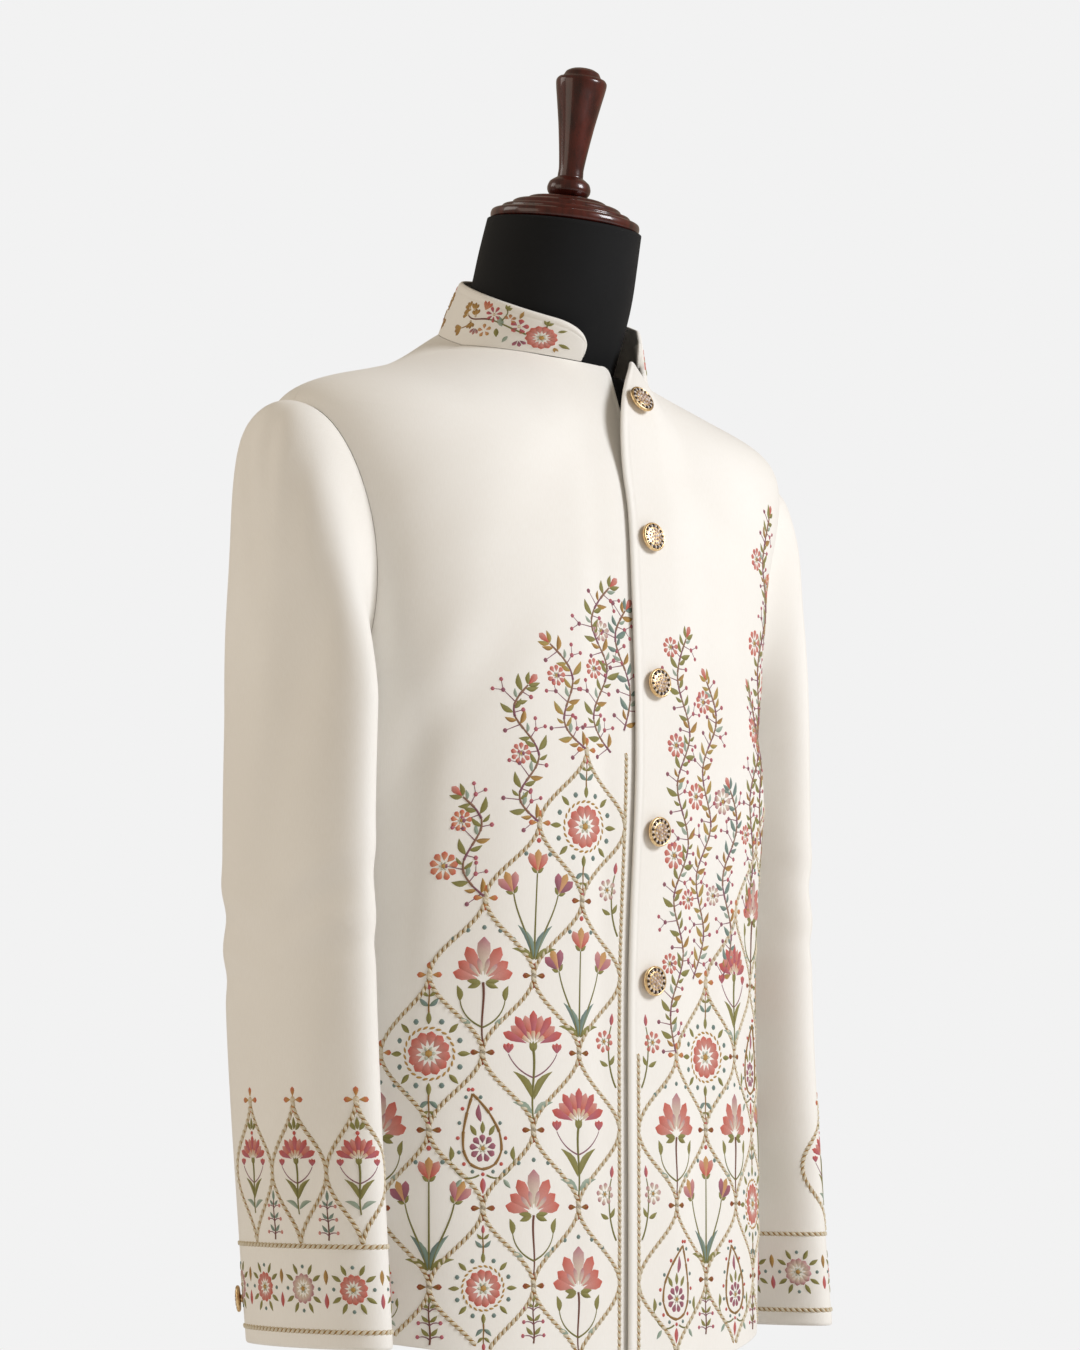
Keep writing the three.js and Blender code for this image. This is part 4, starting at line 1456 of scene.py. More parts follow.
@dataclass
class Needlework:
    """Raised stitches in cloth millimetres, laid on one surface as one piece."""

    name: str
    place: Callable[[Array, Array, Array], Array]
    pads: dict = field(default_factory=lambda: {kind: [] for kind in Stitch})
    stems: list = field(default_factory=list)

    def pad_points(self, kind: Stitch, rows: Array) -> tuple[Array, ...]:
        """Grids of one kind of pad: a dome across, a bell along, and a bend like half a sine.

        Args:
            kind: Stitch.
            rows: N rows of across, up, direction, length, width, raise, bend and two colours.

        Returns:
            Points, faces, pattern coordinates and colours.
        """
        along, across = kind.value
        s = np.linspace(0.0, 1.0, along)[None, :, None]
        t = np.linspace(-1.0, 1.0, across)[None, None, :]
        a, h, turn, length, width, raised, bend = (rows[:, k, None, None] for k in range(7))
        half = kind.half_width(s)
        x = s * length + 0 * t
        y = t * half * width / 2 + bend * length * np.sin(pi * s)
        up = raised * np.sqrt(np.maximum(1 - t * t, 0)) * half ** 0.5 - 0.15 + 0 * y
        c, d = np.cos(turn), np.sin(turn)
        points = self.place(a + x * c - y * d, h + x * d + y * c, up)
        tone = {LEAF: 0.5 + 0.5 * t + 0 * s, PETAL: s ** 1.5 + 0 * t,
                SEED: t * t + 0 * s, TWIST: np.abs(2 * s - 1) ** 2 + 0 * t}[kind]
        first, second = rows[:, None, None, 7:10], rows[:, None, None, 10:13]
        colour = mix(first, second, (tone + 0 * up)[..., None])
        uv = np.stack([x + 0 * up, y + 0 * up], axis=-1)
        return patches(points, uv, colour)

    def stem_points(self) -> tuple[Array, ...]:
        """Stems as Bezier cubics with a rounded ridge: three points across and eleven along."""
        rows = np.array(self.stems)
        s = np.linspace(0, 1, 11)[None, :, None]
        p = [rows[:, None, 2 * k:2 * k + 2] for k in range(4)]
        line = ((1 - s) ** 3 * p[0] + 3 * s * (1 - s) ** 2 * p[1] + 3 * s * s * (1 - s) * p[2]
                + s ** 3 * p[3])
        along = unit(np.gradient(line, axis=1))
        side = np.stack([-along[..., 1], along[..., 0]], axis=-1)
        width = rows[:, None, 8:9] * (1 - 0.35 * s)
        t = np.array([-1.0, 0.0, 1.0])
        place = line[:, :, None] + side[:, :, None] * (width * t)[..., None] / 2
        up = np.array([-0.12, 0.0, -0.12]) + (width * (1 - t * t)) * 0.42
        points = self.place(place[..., 0], place[..., 1], up)
        colour = np.broadcast_to(rows[:, None, None, 9:12], points.shape)
        length = arc_lengths(line, 1)[..., None] + 0 * t
        uv = np.stack([length, 0 * length + t], axis=-1)
        return patches(points, uv, colour)

    def build(self, material: Material, slot: str) -> Piece:
        """All stitches as one piece, with every face turned away from the cloth.

        Args:
            material: Thread.
            slot: Slot of the cloth that it lies on; not used.

        Returns:
            The piece.
        """
        parts = [self.pad_points(kind, np.array(rows)) for kind, rows in self.pads.items() if rows]
        if self.stems:
            parts.append(self.stem_points())
        starts = np.cumsum([0] + [len(part[0]) for part in parts])
        faces = np.concatenate([part[1] + start for part, start in zip(parts, starts)])
        points, uv, colour = (np.concatenate([part[k] for part in parts]) for k in (0, 2, 3))
        mesh = build_mesh(self.name, points, self.turned_out(faces), uv, colour, sided=True)
        obj = add_object(mesh, material)
        return obj

    def turned_out(self, faces: Array) -> Array:
        """Faces whose corners run the same way round as seen from outside the garment."""
        here, x, y, out = self.place(np.array([0.0, 1.0, 0.0, 0.0]),
                                     np.array([20.0, 20.0, 21.0, 20.0]),
                                     np.array([0.0, 0.0, 0.0, 1.0]))
        flip = np.dot(np.cross(x - here, y - here), out - here) > 0
        return faces[:, ::-1] if flip else faces


@dataclass(frozen=True)
class Brush:
    """Where and how a motif is drawn: its origin on the cloth, turn, scale and mirror."""

    work: Needlework
    a: float
    h: float
    turn: float = 0.0
    scale: float = 1.0
    flip: int = 1

    def point(self, x: float, y: float) -> Place:
        """Cloth place of a point of the motif."""
        c, s = cos(self.turn) * self.scale, sin(self.turn) * self.scale
        x = x * self.flip
        return self.a + x * c - y * s, self.h + x * s + y * c

    def at(self, x: float, y: float, turn: float = 0.0, scale: float = 1.0, flip: int = 1) -> "Brush":
        """Brush moved to a point of the motif, with the turn in degrees."""
        a, h = self.point(x, y)
        return Brush(self.work, a, h, self.turn + radians(turn) * self.flip,
                     self.scale * scale, self.flip * flip)

    def pad(self, kind: Stitch, x: float, y: float, turn: float, length: float, width: float,
            tones: tuple, bend: float = 0.0, raised: float = 0.75) -> None:
        """One stitch of a kind from a point.

        Args:
            kind: Stitch.
            x: Place in the motif.
            y: Place up the motif.
            turn: Direction in degrees.
            length: Length of the pad.
            width: Its greatest width.
            tones: First and second colour.
            bend: Sideways bow as a share of its length.
            raised: Height of its crown.
        """
        a, h = self.point(x, y)
        direction = radians(turn if self.flip > 0 else 180.0 - turn) + self.turn
        self.work.pads[kind].append([a, h, direction, length * self.scale, width * self.scale,
                                     raised, bend * self.flip, *tones[0], *tones[1]])

    def seed(self, x: float, y: float, size: float, tones: tuple) -> None:
        """Round knot centred on a point."""
        size = size * 1.25
        self.pad(SEED, x - size / 2, y, 0.0, size, size, tones, raised=0.45 + size * 0.12)

    def stem(self, corners: Path, tone: Array, width: float = 1.0) -> None:
        """Stem along a cubic through its four handles."""
        flat = [v for corner in corners for v in self.point(*corner)]
        self.work.stems.append([*flat, 1.75 * width * min(self.scale, 1.1), *tone])

    def leaves(self, x: float, y: float, turn: float, size: float, tones: tuple,
               spread: float = 48.0) -> None:
        """Pair of leaves from one point."""
        for way in (-1, 1):
            self.pad(LEAF, x, y, turn + way * spread, size, size * 0.4, tones, 0.08 * way)

    def fan(self, x: float, y: float, turns: Sequence[float], length: float, width: float,
            tones: tuple, start: float = 0.0, kind: Stitch = PETAL) -> None:
        """Petals round a point, each begun a little way out.

        Args:
            x: Place in the motif.
            y: Place up the motif.
            turns: Directions in degrees.
            length: Length of a petal.
            width: Its greatest width.
            tones: First and second colour.
            start: Distance at which it begins.
            kind: Stitch.
        """
        for turn in turns:
            out, up = polar(start, turn)
            self.pad(kind, x + out, y + up, turn, length, width, tones)

    def knots(self, turns: Sequence[float], radius: float, size: float, tones: tuple) -> None:
        """Round knots at a distance from the origin, in directions in degrees."""
        for turn in turns:
            self.seed(*polar(radius, turn), size, tones)

    def strand(self, start: Place, end: Place, width: float) -> None:
        """Straight mauve thread between two points."""
        self.stem([(mix(start[0], end[0], f), mix(start[1], end[1], f))
                   for f in (0.0, 0.3, 0.7, 1.0)], MAUVE, width)

    def cord(self, line: Array, pitch: float = 4.4) -> None:
        """Twisted cord along a line of points: a gold core and slanted cream strands over it.

        Args:
            line: Points on the cloth.
            pitch: Length of one twist.
        """
        placed = np.array([self.point(*p) for p in line])
        length = arc_lengths(placed, 0)
        count = max(int(length[-1] / pitch), 2)
        along = np.linspace(0, length[-1], count + 1)
        a, h = (np.interp(along, length, placed[:, k]) for k in range(2))
        middle_a, middle_h = (a[1:] + a[:-1]) / 2, (h[1:] + h[:-1]) / 2
        turn = np.arctan2(np.diff(h), np.diff(a))
        size = length[-1] / count
        for k in range(count):
            lean = turn[k] + 0.60
            self.work.pads[TWIST] += [
                [middle_a[k] - 3.1 * cos(lean), middle_h[k] - 3.1 * sin(lean), lean,
                 6.2, 2.9, 1.35, 0.0, *CREAM, *SAND],
                [a[k] - size * 0.3 * cos(turn[k]), h[k] - size * 0.3 * sin(turn[k]),
                 turn[k], size * 1.6, 4.0, 0.5, 0.0, *OCHRE, *GOLD]]


# ---- motifs

def rosette(b: Brush, petals: int = 10, tones: tuple = BLUSH, size: float = 11.0) -> None:
    """Open flower: a ring of petals, a short inner ring and a knotted heart."""
    b.fan(0, 0, np.arange(petals) * 360 / petals + 8, size * 0.72, size * 0.52, tones, size * 0.3)
    b.fan(0, 0, np.arange(6) * 60.0, size * 0.26, size * 0.2, (CREAM, MIST), size * 0.1, LEAF)
    b.seed(0, 0, size * 0.34, GILDED)


def sprig(b: Brush, height: float = 26.0, pairs: int = 4, tones: tuple = LEAFY,
          berry: tuple = BERRY) -> None:
    """Upright stem with paired leaves and berries on threads."""
    b.stem([(0, 0), (1.5, height * 0.3), (-1.5, height * 0.7), (0, height)], BROWN, 0.9)
    for k in range(pairs):
        y = height * (k + 0.6) / pairs
        b.leaves(0, y, 90, 7.2 - 0.7 * k, tones, 46 + 3 * k)
        for way in (-1, 1):
            x = way * (6.6 - 0.6 * k)
            b.stem([(0, y - 2), (x * 0.3, y), (x * 0.7, y), (x, y - 0.5)], MAUVE, 0.6)
            b.seed(x * 1.1, y - 0.4, 2.2, berry)
    b.pad(LEAF, 0, height - 1, 90, 8, 3.2, tones)


def lotus(b: Brush, outer: tuple = BLUSH, inner: tuple = SHELL) -> None:
    """Lotus in profile on a leafed stem, with knots over it."""
    b.fan(0, -2, (14, 166, 36, 144), 15, 6.5, outer, 2)
    b.fan(0, -2, (62, 118), 18, 7.5, outer, 2)
    b.fan(0, -1, (90,), 20, 8.5, inner, 2)
    b.fan(0, -2, (48, 132, 76, 104), 10, 4.2, inner, 2)
    b.fan(0, -3, (-20, 200, 5, 175), 8, 3.4, LEAFY, 1, LEAF)
    b.knots((50, 70, 90, 110, 130), 25, 2.2, BLUEISH)
    b.stem([(0, -3), (1.5, -12), (-1.5, -22), (0, -33)], BROWN, 1.1)
    for way in (-1, 1):
        b.stem([(0, -26), (way * 5, -24), (way * 11, -20), (way * 12, -12)], OLIVE, 0.8)
        b.pad(LEAF, way * 12, -13, 90 - way * 12, 9, 3.8, LEAFY, 0.1 * way)
        b.pad(LEAF, way * 6, -24, 90 - way * 60, 7, 3.0, MISTY, -0.1 * way)


def medallion(b: Brush, tones: tuple = BLUSH, ring: tuple = BLUEISH) -> None:
    """Rosette in a gold ring with eight leaf points, knots between and a sprig at each end."""
    rosette(b, 12, tones, 11.5)
    for turn in np.arange(24) * 15.0:
        b.pad(TWIST, *polar(12.6, turn), turn + 78, 3.6, 1.5, GILDED)
    b.fan(0, 0, np.arange(8) * 45.0, 7.5, 3.2, LEAFY, 14.6, LEAF)
    b.knots(np.arange(8) * 45.0 + 22.5, 17.5, 2.6, ring)
    for way in (-1, 1):
        b.stem([(0, way * 21), (0.5, way * 25), (-0.5, way * 29), (0, way * 33)], OCHRE, 0.8)
        b.leaves(0, way * 24, way * 90, 7, ring)
        b.leaves(0, way * 29, way * 90, 5.5, LEAFY)
        b.pad(LEAF, 0, way * 32, way * 90, 6, 2.6, EMBER)


def paisley(b: Brush, field_tones: tuple = PLUM, edge: Array = OCHRE) -> None:
    """Curled drop outlined in gold, knotted round and filled with a flower and leaf rows.

    The outline is x = 13.5 sin(t) |sin(t/2)|, y = 19 cos(t), bent over by the square of its height.
    """
    t = np.linspace(0.0, 2 * pi, 37)
    x, y = 13.5 * np.sin(t) * np.abs(np.sin(t / 2)), 19 * np.cos(t)
    x = x + 0.0062 * np.maximum(y + 10, 0) ** 2
    for k in range(0, 36, 3):
        b.stem([(x[k + i], y[k + i]) for i in range(4)], edge, 1.3)
    for k in range(2, 36, 2):
        out = 1.26 + 0.05 * cos(t[k])
        b.seed(x[k] * out, (y[k] + 3) * 1.16 - 3, 1.9, EMBER if k % 4 else BLUEISH)
    rosette(b.at(0, -8.5), 9, field_tones, 7.2)
    b.fan(0, -8, (60, 90, 120), 7, 3.0, LEAFY, 6.6, LEAF)
    b.pad(LEAF, 0.8, 4.5, 84, 10, 3.4, field_tones, -0.1)
    for way in (-1, 1):
        b.stem([(way * 2, -22), (way * 9, -26), (way * 15, -22), (way * 17, -14)], OLIVE, 0.8)
        b.pad(LEAF, way * 17, -15, 90, 8, 3.2, LEAFY, 0.1 * way)
        b.pad(LEAF, way * 11, -24, -90 + way * 40, 6.5, 2.8, MISTY)
    b.pad(LEAF, 0, -23, -90, 9, 3.6, EMBER)


def carnation(b: Brush, tones: tuple = (CORAL, PINK)) -> None:
    """Fan of fringed petals on a calyx, with long blades and two buds."""
    for k, turn in enumerate(np.linspace(22, 158, 9)):
        b.fan(0, 4, (turn,), 16 - 2 * (k % 2), 5.4, tones if k % 2 else BERRY, 3)
    b.fan(0, 4, np.linspace(40, 140, 5), 7, 3.0, (CREAM, PEACH), 2)
    b.fan(0, 1, (70, 90, 110), 6, 3.0, LEAFY, 0, LEAF)
    b.stem([(0, 3), (2, -8), (-2, -20), (0, -34)], OLIVE, 1.2)
    for way in (-1, 1):
        b.pad(LEAF, 0, -24, 90 - way * 38, 20, 4.6, LEAFY, 0.14 * way)
        b.pad(LEAF, 0, -31, 90 - way * 62, 14, 4.0, MISTY, 0.14 * way)
        b.stem([(0, -12), (way * 6, -10), (way * 11, -6), (way * 14, 0)], MAUVE, 0.7)
        b.fan(way * 14, 0, (65, 90, 115), 6, 2.8, BERRY, 0)


def tulips(b: Brush) -> None:
    """Three tulips from one tuft."""
    for x, y, turn, tones in ((0, 14, 0, (CORAL, PINK)), (-13, 3, 24, PLUM), (13, 3, -24, (ROSE, PINK))):
        b.stem([(x * 0.1, -30), (x * 0.2, -18), (x * 0.8, -10), (x, y)], OLIVE, 1.0)
        head = b.at(x, y, turn)
        head.fan(0, 0, (64, 116), 12, 5.2, tones)
        head.fan(0, 0, (90,), 13, 5.0, (PEACH, GOLD))
        head.fan(0, 0, (40, 140), 5, 2.4, LEAFY, 0, LEAF)
    for way in (-1, 1):
        b.pad(LEAF, 0, -31, 90 - way * 30, 22, 4.4, TEAL, 0.12 * way)
        b.pad(LEAF, 0, -31, 90 - way * 66, 15, 3.8, LEAFY, 0.14 * way)
        b.seed(way * 7, 24, 2.2, BLUEISH)
    b.seed(0, 31, 2.4, EMBER)


def vine(b: Brush, points: Path, leaf: tuple = LEAFY, bloom: tuple = BLUSH, every: int = 8) -> None:
    """Leafed stem through points, with berries on the other side and a flower now and then.

    Args:
        b: Brush at the cloth's own origin.
        points: Places that the stem passes.
        leaf: Shading of the leaves.
        bloom: Shading of the flowers.
        every: Steps from flower to flower.
    """
    p = np.array(points, float)
    whole = Spline(p)
    count = int(arc_lengths(whole(np.linspace(0, len(p) - 1, 99)).T, 0)[-1] / 9.5)
    x, y = whole(np.linspace(0, len(p) - 1, count * 3 + 1))
    for k in range(count):
        i = 3 * k
        b.stem([(x[i + n], y[i + n]) for n in range(4)], TAN if k % 3 else MAUVE, 1.25)
        turn = degrees(atan2(y[i + 3] - y[i], x[i + 3] - x[i]))
        way = 1 if k % 2 else -1
        size = 11.5 + 2.2 * sin(2.4 * k)
        tones = leaf if k % 4 else GILDED
        b.pad(LEAF, x[i + 1], y[i + 1], turn + way * 52, size, size * 0.38, tones, 0.1 * way)
        b.pad(LEAF, x[i + 2], y[i + 2], turn - way * 40, size * 0.8, size * 0.3,
              MISTY if k % 3 == 1 else tones, -0.1 * way)
        side = turn - way * 76
        out, up = polar(9.5 + 2.4 * cos(3.1 * k), side)
        bx, by = x[i + 1] + out, y[i + 1] + up
        b.strand((x[i + 1], y[i + 1]), (bx, by), 0.6)
        b.seed(bx, by, 2.9, BERRY if k % 2 else PLUM)
        if k % 3 == 1:
            for spread in (-38, 38):
                out, up = polar(7.5, side + spread)
                b.strand((bx, by), (bx + out, by + up), 0.5)
                b.seed(bx + out, by + up, 2.6, BERRY)
        if k % every == every - 2:
            rosette(b.at(bx + way * 1.5, by), 9, bloom, 7.6 + 1.2 * (k % 3))
    b.leaves(x[-1], y[-1], turn, 10, leaf, 34)
    b.pad(PETAL, x[-1], y[-1], turn, 11, 5.6, (CORAL, PINK))


@dataclass
class Trellis:
    """Ogee net of twisted cord: cells with a half width of W/4 (1 + cos(2 pi y / H))."""

    width: float = 74.0
    height: float = 104.0

    def side(self, cell: Place, way: int, upper: int) -> Array:
        """One of a cell's four curved sides, from its waist to its tip."""
        y = np.linspace(0, self.height / 2, 24)
        x = self.width / 4 * (1 + np.cos(2 * pi * y / self.height))
        return np.stack([cell[0] + way * x, cell[1] + upper * y], axis=1)

    def draw(self, b: Brush, cells: Path, low: HemLine, near: float, outward: int) -> None:
        """Cords of all cells once each, cut at the hem and at the front border.

        Args:
            b: Brush at the cloth's own origin.
            cells: Centres.
            low: Lowest height that a cord reaches, by its place across.
            near: Least across, counted outward, that a cord reaches.
            outward: Sign of across away from the front edge.
        """
        drawn = set()
        for cell in cells:
            for way in (-1, 1):
                for upper in (-1, 1):
                    line = self.side(cell, way, upper)
                    key = tuple(np.round(line[[0, -1]].sum(axis=0), 0))
                    inside = (line[:, 1] > low(line[:, 0])) & (line[:, 0] * outward > near)
                    if key in drawn or inside.sum() < 4:
                        continue
                    drawn.add(key)
                    b.cord(line[inside])
        for cell in cells:
            for upper in (-1, 1):
                tip = cell[1] + upper * self.height / 2
                if tip > low(cell[0]) + 18 and cell[0] * outward > near + 4:
                    knot = b.at(cell[0], tip)
                    knot.fan(0, 0, (0, 90, 180, 270), 7.5, 4.4, (GOLD, CORAL), 1.4)
                    knot.seed(0, 0, 4.0, HEART)


@dataclass
class Embroidery:
    """Everything sewn on the jacket, by the cloth that carries it."""

    fronts: Fronts
    sleeves: Sleeves
    collar: CollarCloth
    trellis: Trellis = field(default_factory=Trellis)
    # how far outward from the centre front each side's border lies
    border: dict = field(default_factory=lambda: {Side.RIGHT: 22.0, Side.LEFT: -8.0})
    hem: float = 5.0
    cuff_cords: Place = (11.0, 66.0)
    cuff_flowers: int = 8

    def hem_line(self, side: Side) -> HemLine:
        """Height at which needlework stops over a front's curved hem, by its place across."""
        cloth = self.fronts.front[side]
        angle = side.value * np.linspace(0.0, pi / 2, 90)
        across, up = cloth.cloth_place(np.zeros(90), angle)
        order = np.argsort(across)
        return lambda x: np.interp(x, across[order], up[order]) + self.hem

    def fill(self, b: Brush, cells: Path, first: int, low: HemLine) -> None:
        """A motif in each cell, smaller where the hem is near, with neighbours kept different.

        Args:
            b: Brush at the cloth's own origin.
            cells: Centres.
            first: Motif that the first cell starts with.
            low: Lowest height that needlework reaches.
        """
        motifs = (lotus, medallion, carnation, paisley, tulips)
        for k, (a, h) in enumerate(cells):
            if h < 20:
                sprig(b.at(a, 2, 0, 1.15), 24, 3)
                continue
            motif = motifs[(k * 2 + first) % len(motifs)]
            scale = min(1.32, (h - float(low(a)) - 2) / 35)
            motif(b.at(a, h - 1, 0, scale, -1 if k % 2 else 1))

    def border_buds(self, b: Brush, a: float, way: int, count: int) -> None:
        """Bud and two leaves in each gap between the border and the net.

        Args:
            b: Brush at the cloth's own origin.
            a: Place across.
            way: Side that the buds lean to.
            count: How many, from the hem up.
        """
        for k in range(count):
            bud = b.at(a, 92 + k * self.trellis.height, 0, 1.05, way)
            bud.stem([(0, -22), (6, -12), (8, 6), (4, 18)], OLIVE, 1.0)
            bud.leaves(6, -8, 75, 9, LEAFY)
            rosette(bud.at(10, 8), 8, BLUSH if k % 2 else SHELL, 7.5)
            bud.pad(LEAF, 4, 18, 95, 9, 3.8, EMBER)

    def net(self, side: Side, columns: Sequence[tuple], first: int, top: float, buds: int) -> Brush:
        """A front's net with its motifs, and the cord and buds along its border.

        Args:
            side: The front.
            columns: Columns of cells: how many widths from the border, and their heights.
            first: Motif that the first cell starts with.
            top: Where the border's cord ends.
            buds: Number of buds along the border.

        Returns:
            A brush at the cloth's own origin.
        """
        b = Brush(Needlework(f"embroidery_front_{side.label}", self.fronts.front[side].at), 0.0, 0.0)
        way, near = side.value, self.border[side]
        edge = way * near
        cells = [(edge + way * c * self.trellis.width, h) for c, heights in columns for h in heights]
        low = self.hem_line(side)
        self.trellis.draw(b, cells, low, near, way)
        self.fill(b, cells, first, low)
        b.cord(np.array([[edge, float(low(edge))], [edge, top]]))
        self.border_buds(b, edge + 3 * way, way, buds)
        return b

    def right_front(self) -> Needlework:
        """Net up to the fourth cell at the edge, falling to the side, with vines growing over it."""
        b = self.net(Side.RIGHT, ((0.5, (40, 144, 248, 352)), (1.0, (-12, 92, 196, 300)),
                                  (1.5, (40, 144, 248)), (2.0, (-12, 92, 196)), (2.5, (40, 144))),
                     0, 404.0, 3)
        vine(b, [(-36, 404), (-52, 430), (-38, 462), (-52, 492), (-34, 520)])
        vine(b, [(-24, 420), (-18, 452), (-30, 482), (-20, 505)], TEAL, SHELL)
        vine(b, [(-59, 404), (-78, 424), (-70, 452), (-88, 476)], (MOSS, GOLD))
        vine(b, [(-96, 352), (-112, 372), (-98, 398), (-116, 424), (-106, 446)])
        vine(b, [(-133, 300), (-150, 322), (-138, 348), (-152, 368)], LEAFY, (PEACH, CORAL), 4)
        return b.work

    def left_front(self) -> Needlework:
        """Net to the third cell, and tall vines by the buttons and up the side."""
        b = self.net(Side.LEFT, ((0.5, (40, 144)), (1.0, (-12, 92, 196)), (1.5, (40, 144, 248)),
                                 (2.0, (-12, 92, 196, 300)), (2.5, (40, 144, 248, 352))),
                     3, 196.0, 2)
        vine(b, [(29, 196), (24, 232), (36, 268), (24, 306), (38, 344), (24, 384), (38, 420),
                 (26, 456), (36, 490)])
        vine(b, [(50, 250), (62, 286), (50, 322), (66, 358), (54, 396), (70, 430), (60, 462)], (MOSS, GOLD))
        vine(b, [(84, 250), (96, 286), (82, 322), (98, 356), (88, 386)], TEAL, SHELL)
        vine(b, [(122, 300), (134, 340), (120, 384), (138, 424), (126, 462)])
        vine(b, [(150, 352), (140, 400), (158, 440), (146, 484), (164, 526), (154, 562), (168, 598)])
        vine(b, [(178, 404), (170, 440), (186, 476), (176, 512), (188, 544)], (OLIVE, GOLD), (PEACH, CORAL))
        return b.work

    def cuff(self, side: Side) -> Needlework:
        """Band between two cords all round, with a crest of ogee cells over its outer face.

        Args:
            side: The wearer's side.

        Returns:
            The needlework.
        """
        cloth = self.sleeves.cloth[side]
        work = Needlework(f"embroidery_cuff_{side.label}", cloth.at)
        b = Brush(work, 0.0, 0.0)
        girth = float(np.interp(pi, cloth.turns, cloth.lengths)
                      - np.interp(-pi, cloth.turns, cloth.lengths))
        step = girth / self.cuff_flowers
        start = -girth / 2
        ring = np.linspace(start, start + girth, 120)
        low, high = self.cuff_cords
        middle = (low + high) / 2
        for h in self.cuff_cords:
            b.cord(np.stack([ring, 0 * ring + h], axis=1))
        for k in range(self.cuff_flowers):
            spot = b.at(start + (k + 0.5) * step, middle, 0, 0.92)
            rosette(spot, 12, BLUSH if k % 2 else SHELL, 11)
            spot.fan(0, 0, (30, 62, 118, 150, 210, 242, 298, 330), 9.5, 3.8, LEAFY, 10.5, LEAF)
            spot.knots((0, 90, 180, 270), 15.5, 2.6, BLUEISH)
            half = b.at(start + k * step, middle)
            half.pad(LEAF, 0, -13, 90, 11, 4.2, EMBER)
            half.pad(LEAF, 0, 13, -90, 11, 4.2, GILDED)
        small = Trellis(48.0, 96.0)
        crest = high + small.height / 2
        small.draw(b, [(x, crest) for x in (-28, 20, 68)], lambda x: high + 1.0 + 0 * x, -inf, 1)
        for k, x in enumerate((-28, -4, 20, 44, 68)):
            if k % 2:
                sprig(b.at(x, high + 4), 26, 3, TEAL, BLUSH)
                continue
            carnation(b.at(x, crest + 4, 0, 0.92))
            b.fan(x, crest + 26, (55, 90, 125), 9, 3.6, LEAFY, 2, LEAF)
            b.seed(x, crest + 26, 2.6, EMBER)
        return work

    def trail(self, b: Brush) -> None:
        """Stem from a large flower with small ones, leaves and buds, ending in a gold bud."""
        b.stem([(12, -3), (24, -1), (34, 3), (44, 3)], OLIVE, 1.2)
        b.stem([(44, 3), (52, 3), (58, -2), (66, 2)], BROWN, 1.1)
        b.fan(19, 3, np.arange(5) * 72 + 18.0, 6.2, 5.4, BERRY, 1.6)
        b.seed(19, 3, 2.8, HEART)
        b.pad(LEAF, 21, 10, 98, 9, 3.2, GILDED)
        b.fan(28, 7, (20, 80, 140, 200), 5.0, 3.4, (PEACH, OCHRE), 0.6)
        b.fan(16, -10, (205, 250, 295), 7, 3.6, PLUM, 0.5)
        b.pad(LEAF, 25, -8, -70, 8, 3.8, (MIST, SAGE))
        b.pad(LEAF, 32, -1, 58, 11, 6.0, (MIST, SAGE))
        b.pad(LEAF, 36, -3, 252, 9, 4.6, LEAFY)
        b.stem([(34, 3), (33, 8), (30, 12), (33, 15)], OLIVE, 0.9)
        b.fan(33, 15, (60, 100, 140), 5, 3.0, LEAFY, 0, LEAF)
        b.fan(42, 8, np.arange(7) * 360 / 7, 6.4, 3.2, BERRY, 1.2)
        b.seed(42, 8, 2.4, HEART)
        b.fan(45, -7, np.arange(5) * 72.0, 5.2, 3.6, (PEACH, GOLD), 1.0)
        b.fan(51, 9, (66, 92, 118), 9, 3.2, (PEACH, CORAL), 0)
        b.fan(54, -6, (230, 270, 310), 6, 3.0, (MAUVE, PINK), 0.4)
        for x, y, turn in ((58, 3, 70), (62, 7, 84), (66, 2, 10), (61, -2, 250), (67, 7, 40)):
            b.fan(x, y, (turn - 36, turn, turn + 36), 6, 3.4, GILDED, 0.4)
            b.seed(x, y, 2.0, HEART)
        b.stem([(60, -2), (62, -6), (66, -8), (68, -9)], OCHRE, 0.9)
        b.fan(68, -8, (-66, -40, -14), 9, 4.2, GILDED, 0)
        b.pad(LEAF, 72, 4, 160, 8, 3.2, (OCHRE, GOLD))

    def flower_head(self, b: Brush) -> None:
        """Large open flower with leaves round its outer side."""
        rosette(b.at(0, -3), 13, BLUSH, 12.8)
        b.pad(LEAF, -14, -6, 196, 12, 4.8, LEAFY)
        b.pad(LEAF, -10, 7, 152, 8.5, 3.4, LEAFY)
        b.stem([(-1, 9), (-1, 11), (0, 12), (0, 14)], OLIVE, 0.8)
        b.fan(-1, 11, (50, 92, 134), 6, 3.2, LEAFY, 0, LEAF)
        b.fan(-12, -11, (215, 250), 6, 2.6, (OCHRE, GOLD), 0, LEAF)

    def stand_collar(self) -> Needlework:
        """Large flowers at the ends and the centre back, with trails that run from each."""
        work = Needlework("embroidery_collar", self.collar.at)
        b = Brush(work, 0.0, 0.0)
        for x, flips in ((-160.0, (1,)), (0.0, (-1, 1)), (118.0, (-1,))):
            for flip in flips:
                spot = b.at(x, 19.0, 0, 0.92, flip)
                self.trail(spot)
                if len(flips) == 1:
                    self.flower_head(spot)
            if len(flips) == 2:
                rosette(b.at(x, 17.0), 13, BLUSH, 12)
                b.fan(x, 17, (62, 118, 242, 298), 6, 3.0, LEAFY, 13, LEAF)
        rosette(b.at(147.5, 18.5), 9, BLUSH, 7.6)
        b.fan(147.5, 18.5, (125, 235), 5.5, 2.8, LEAFY, 8, LEAF)
        return work

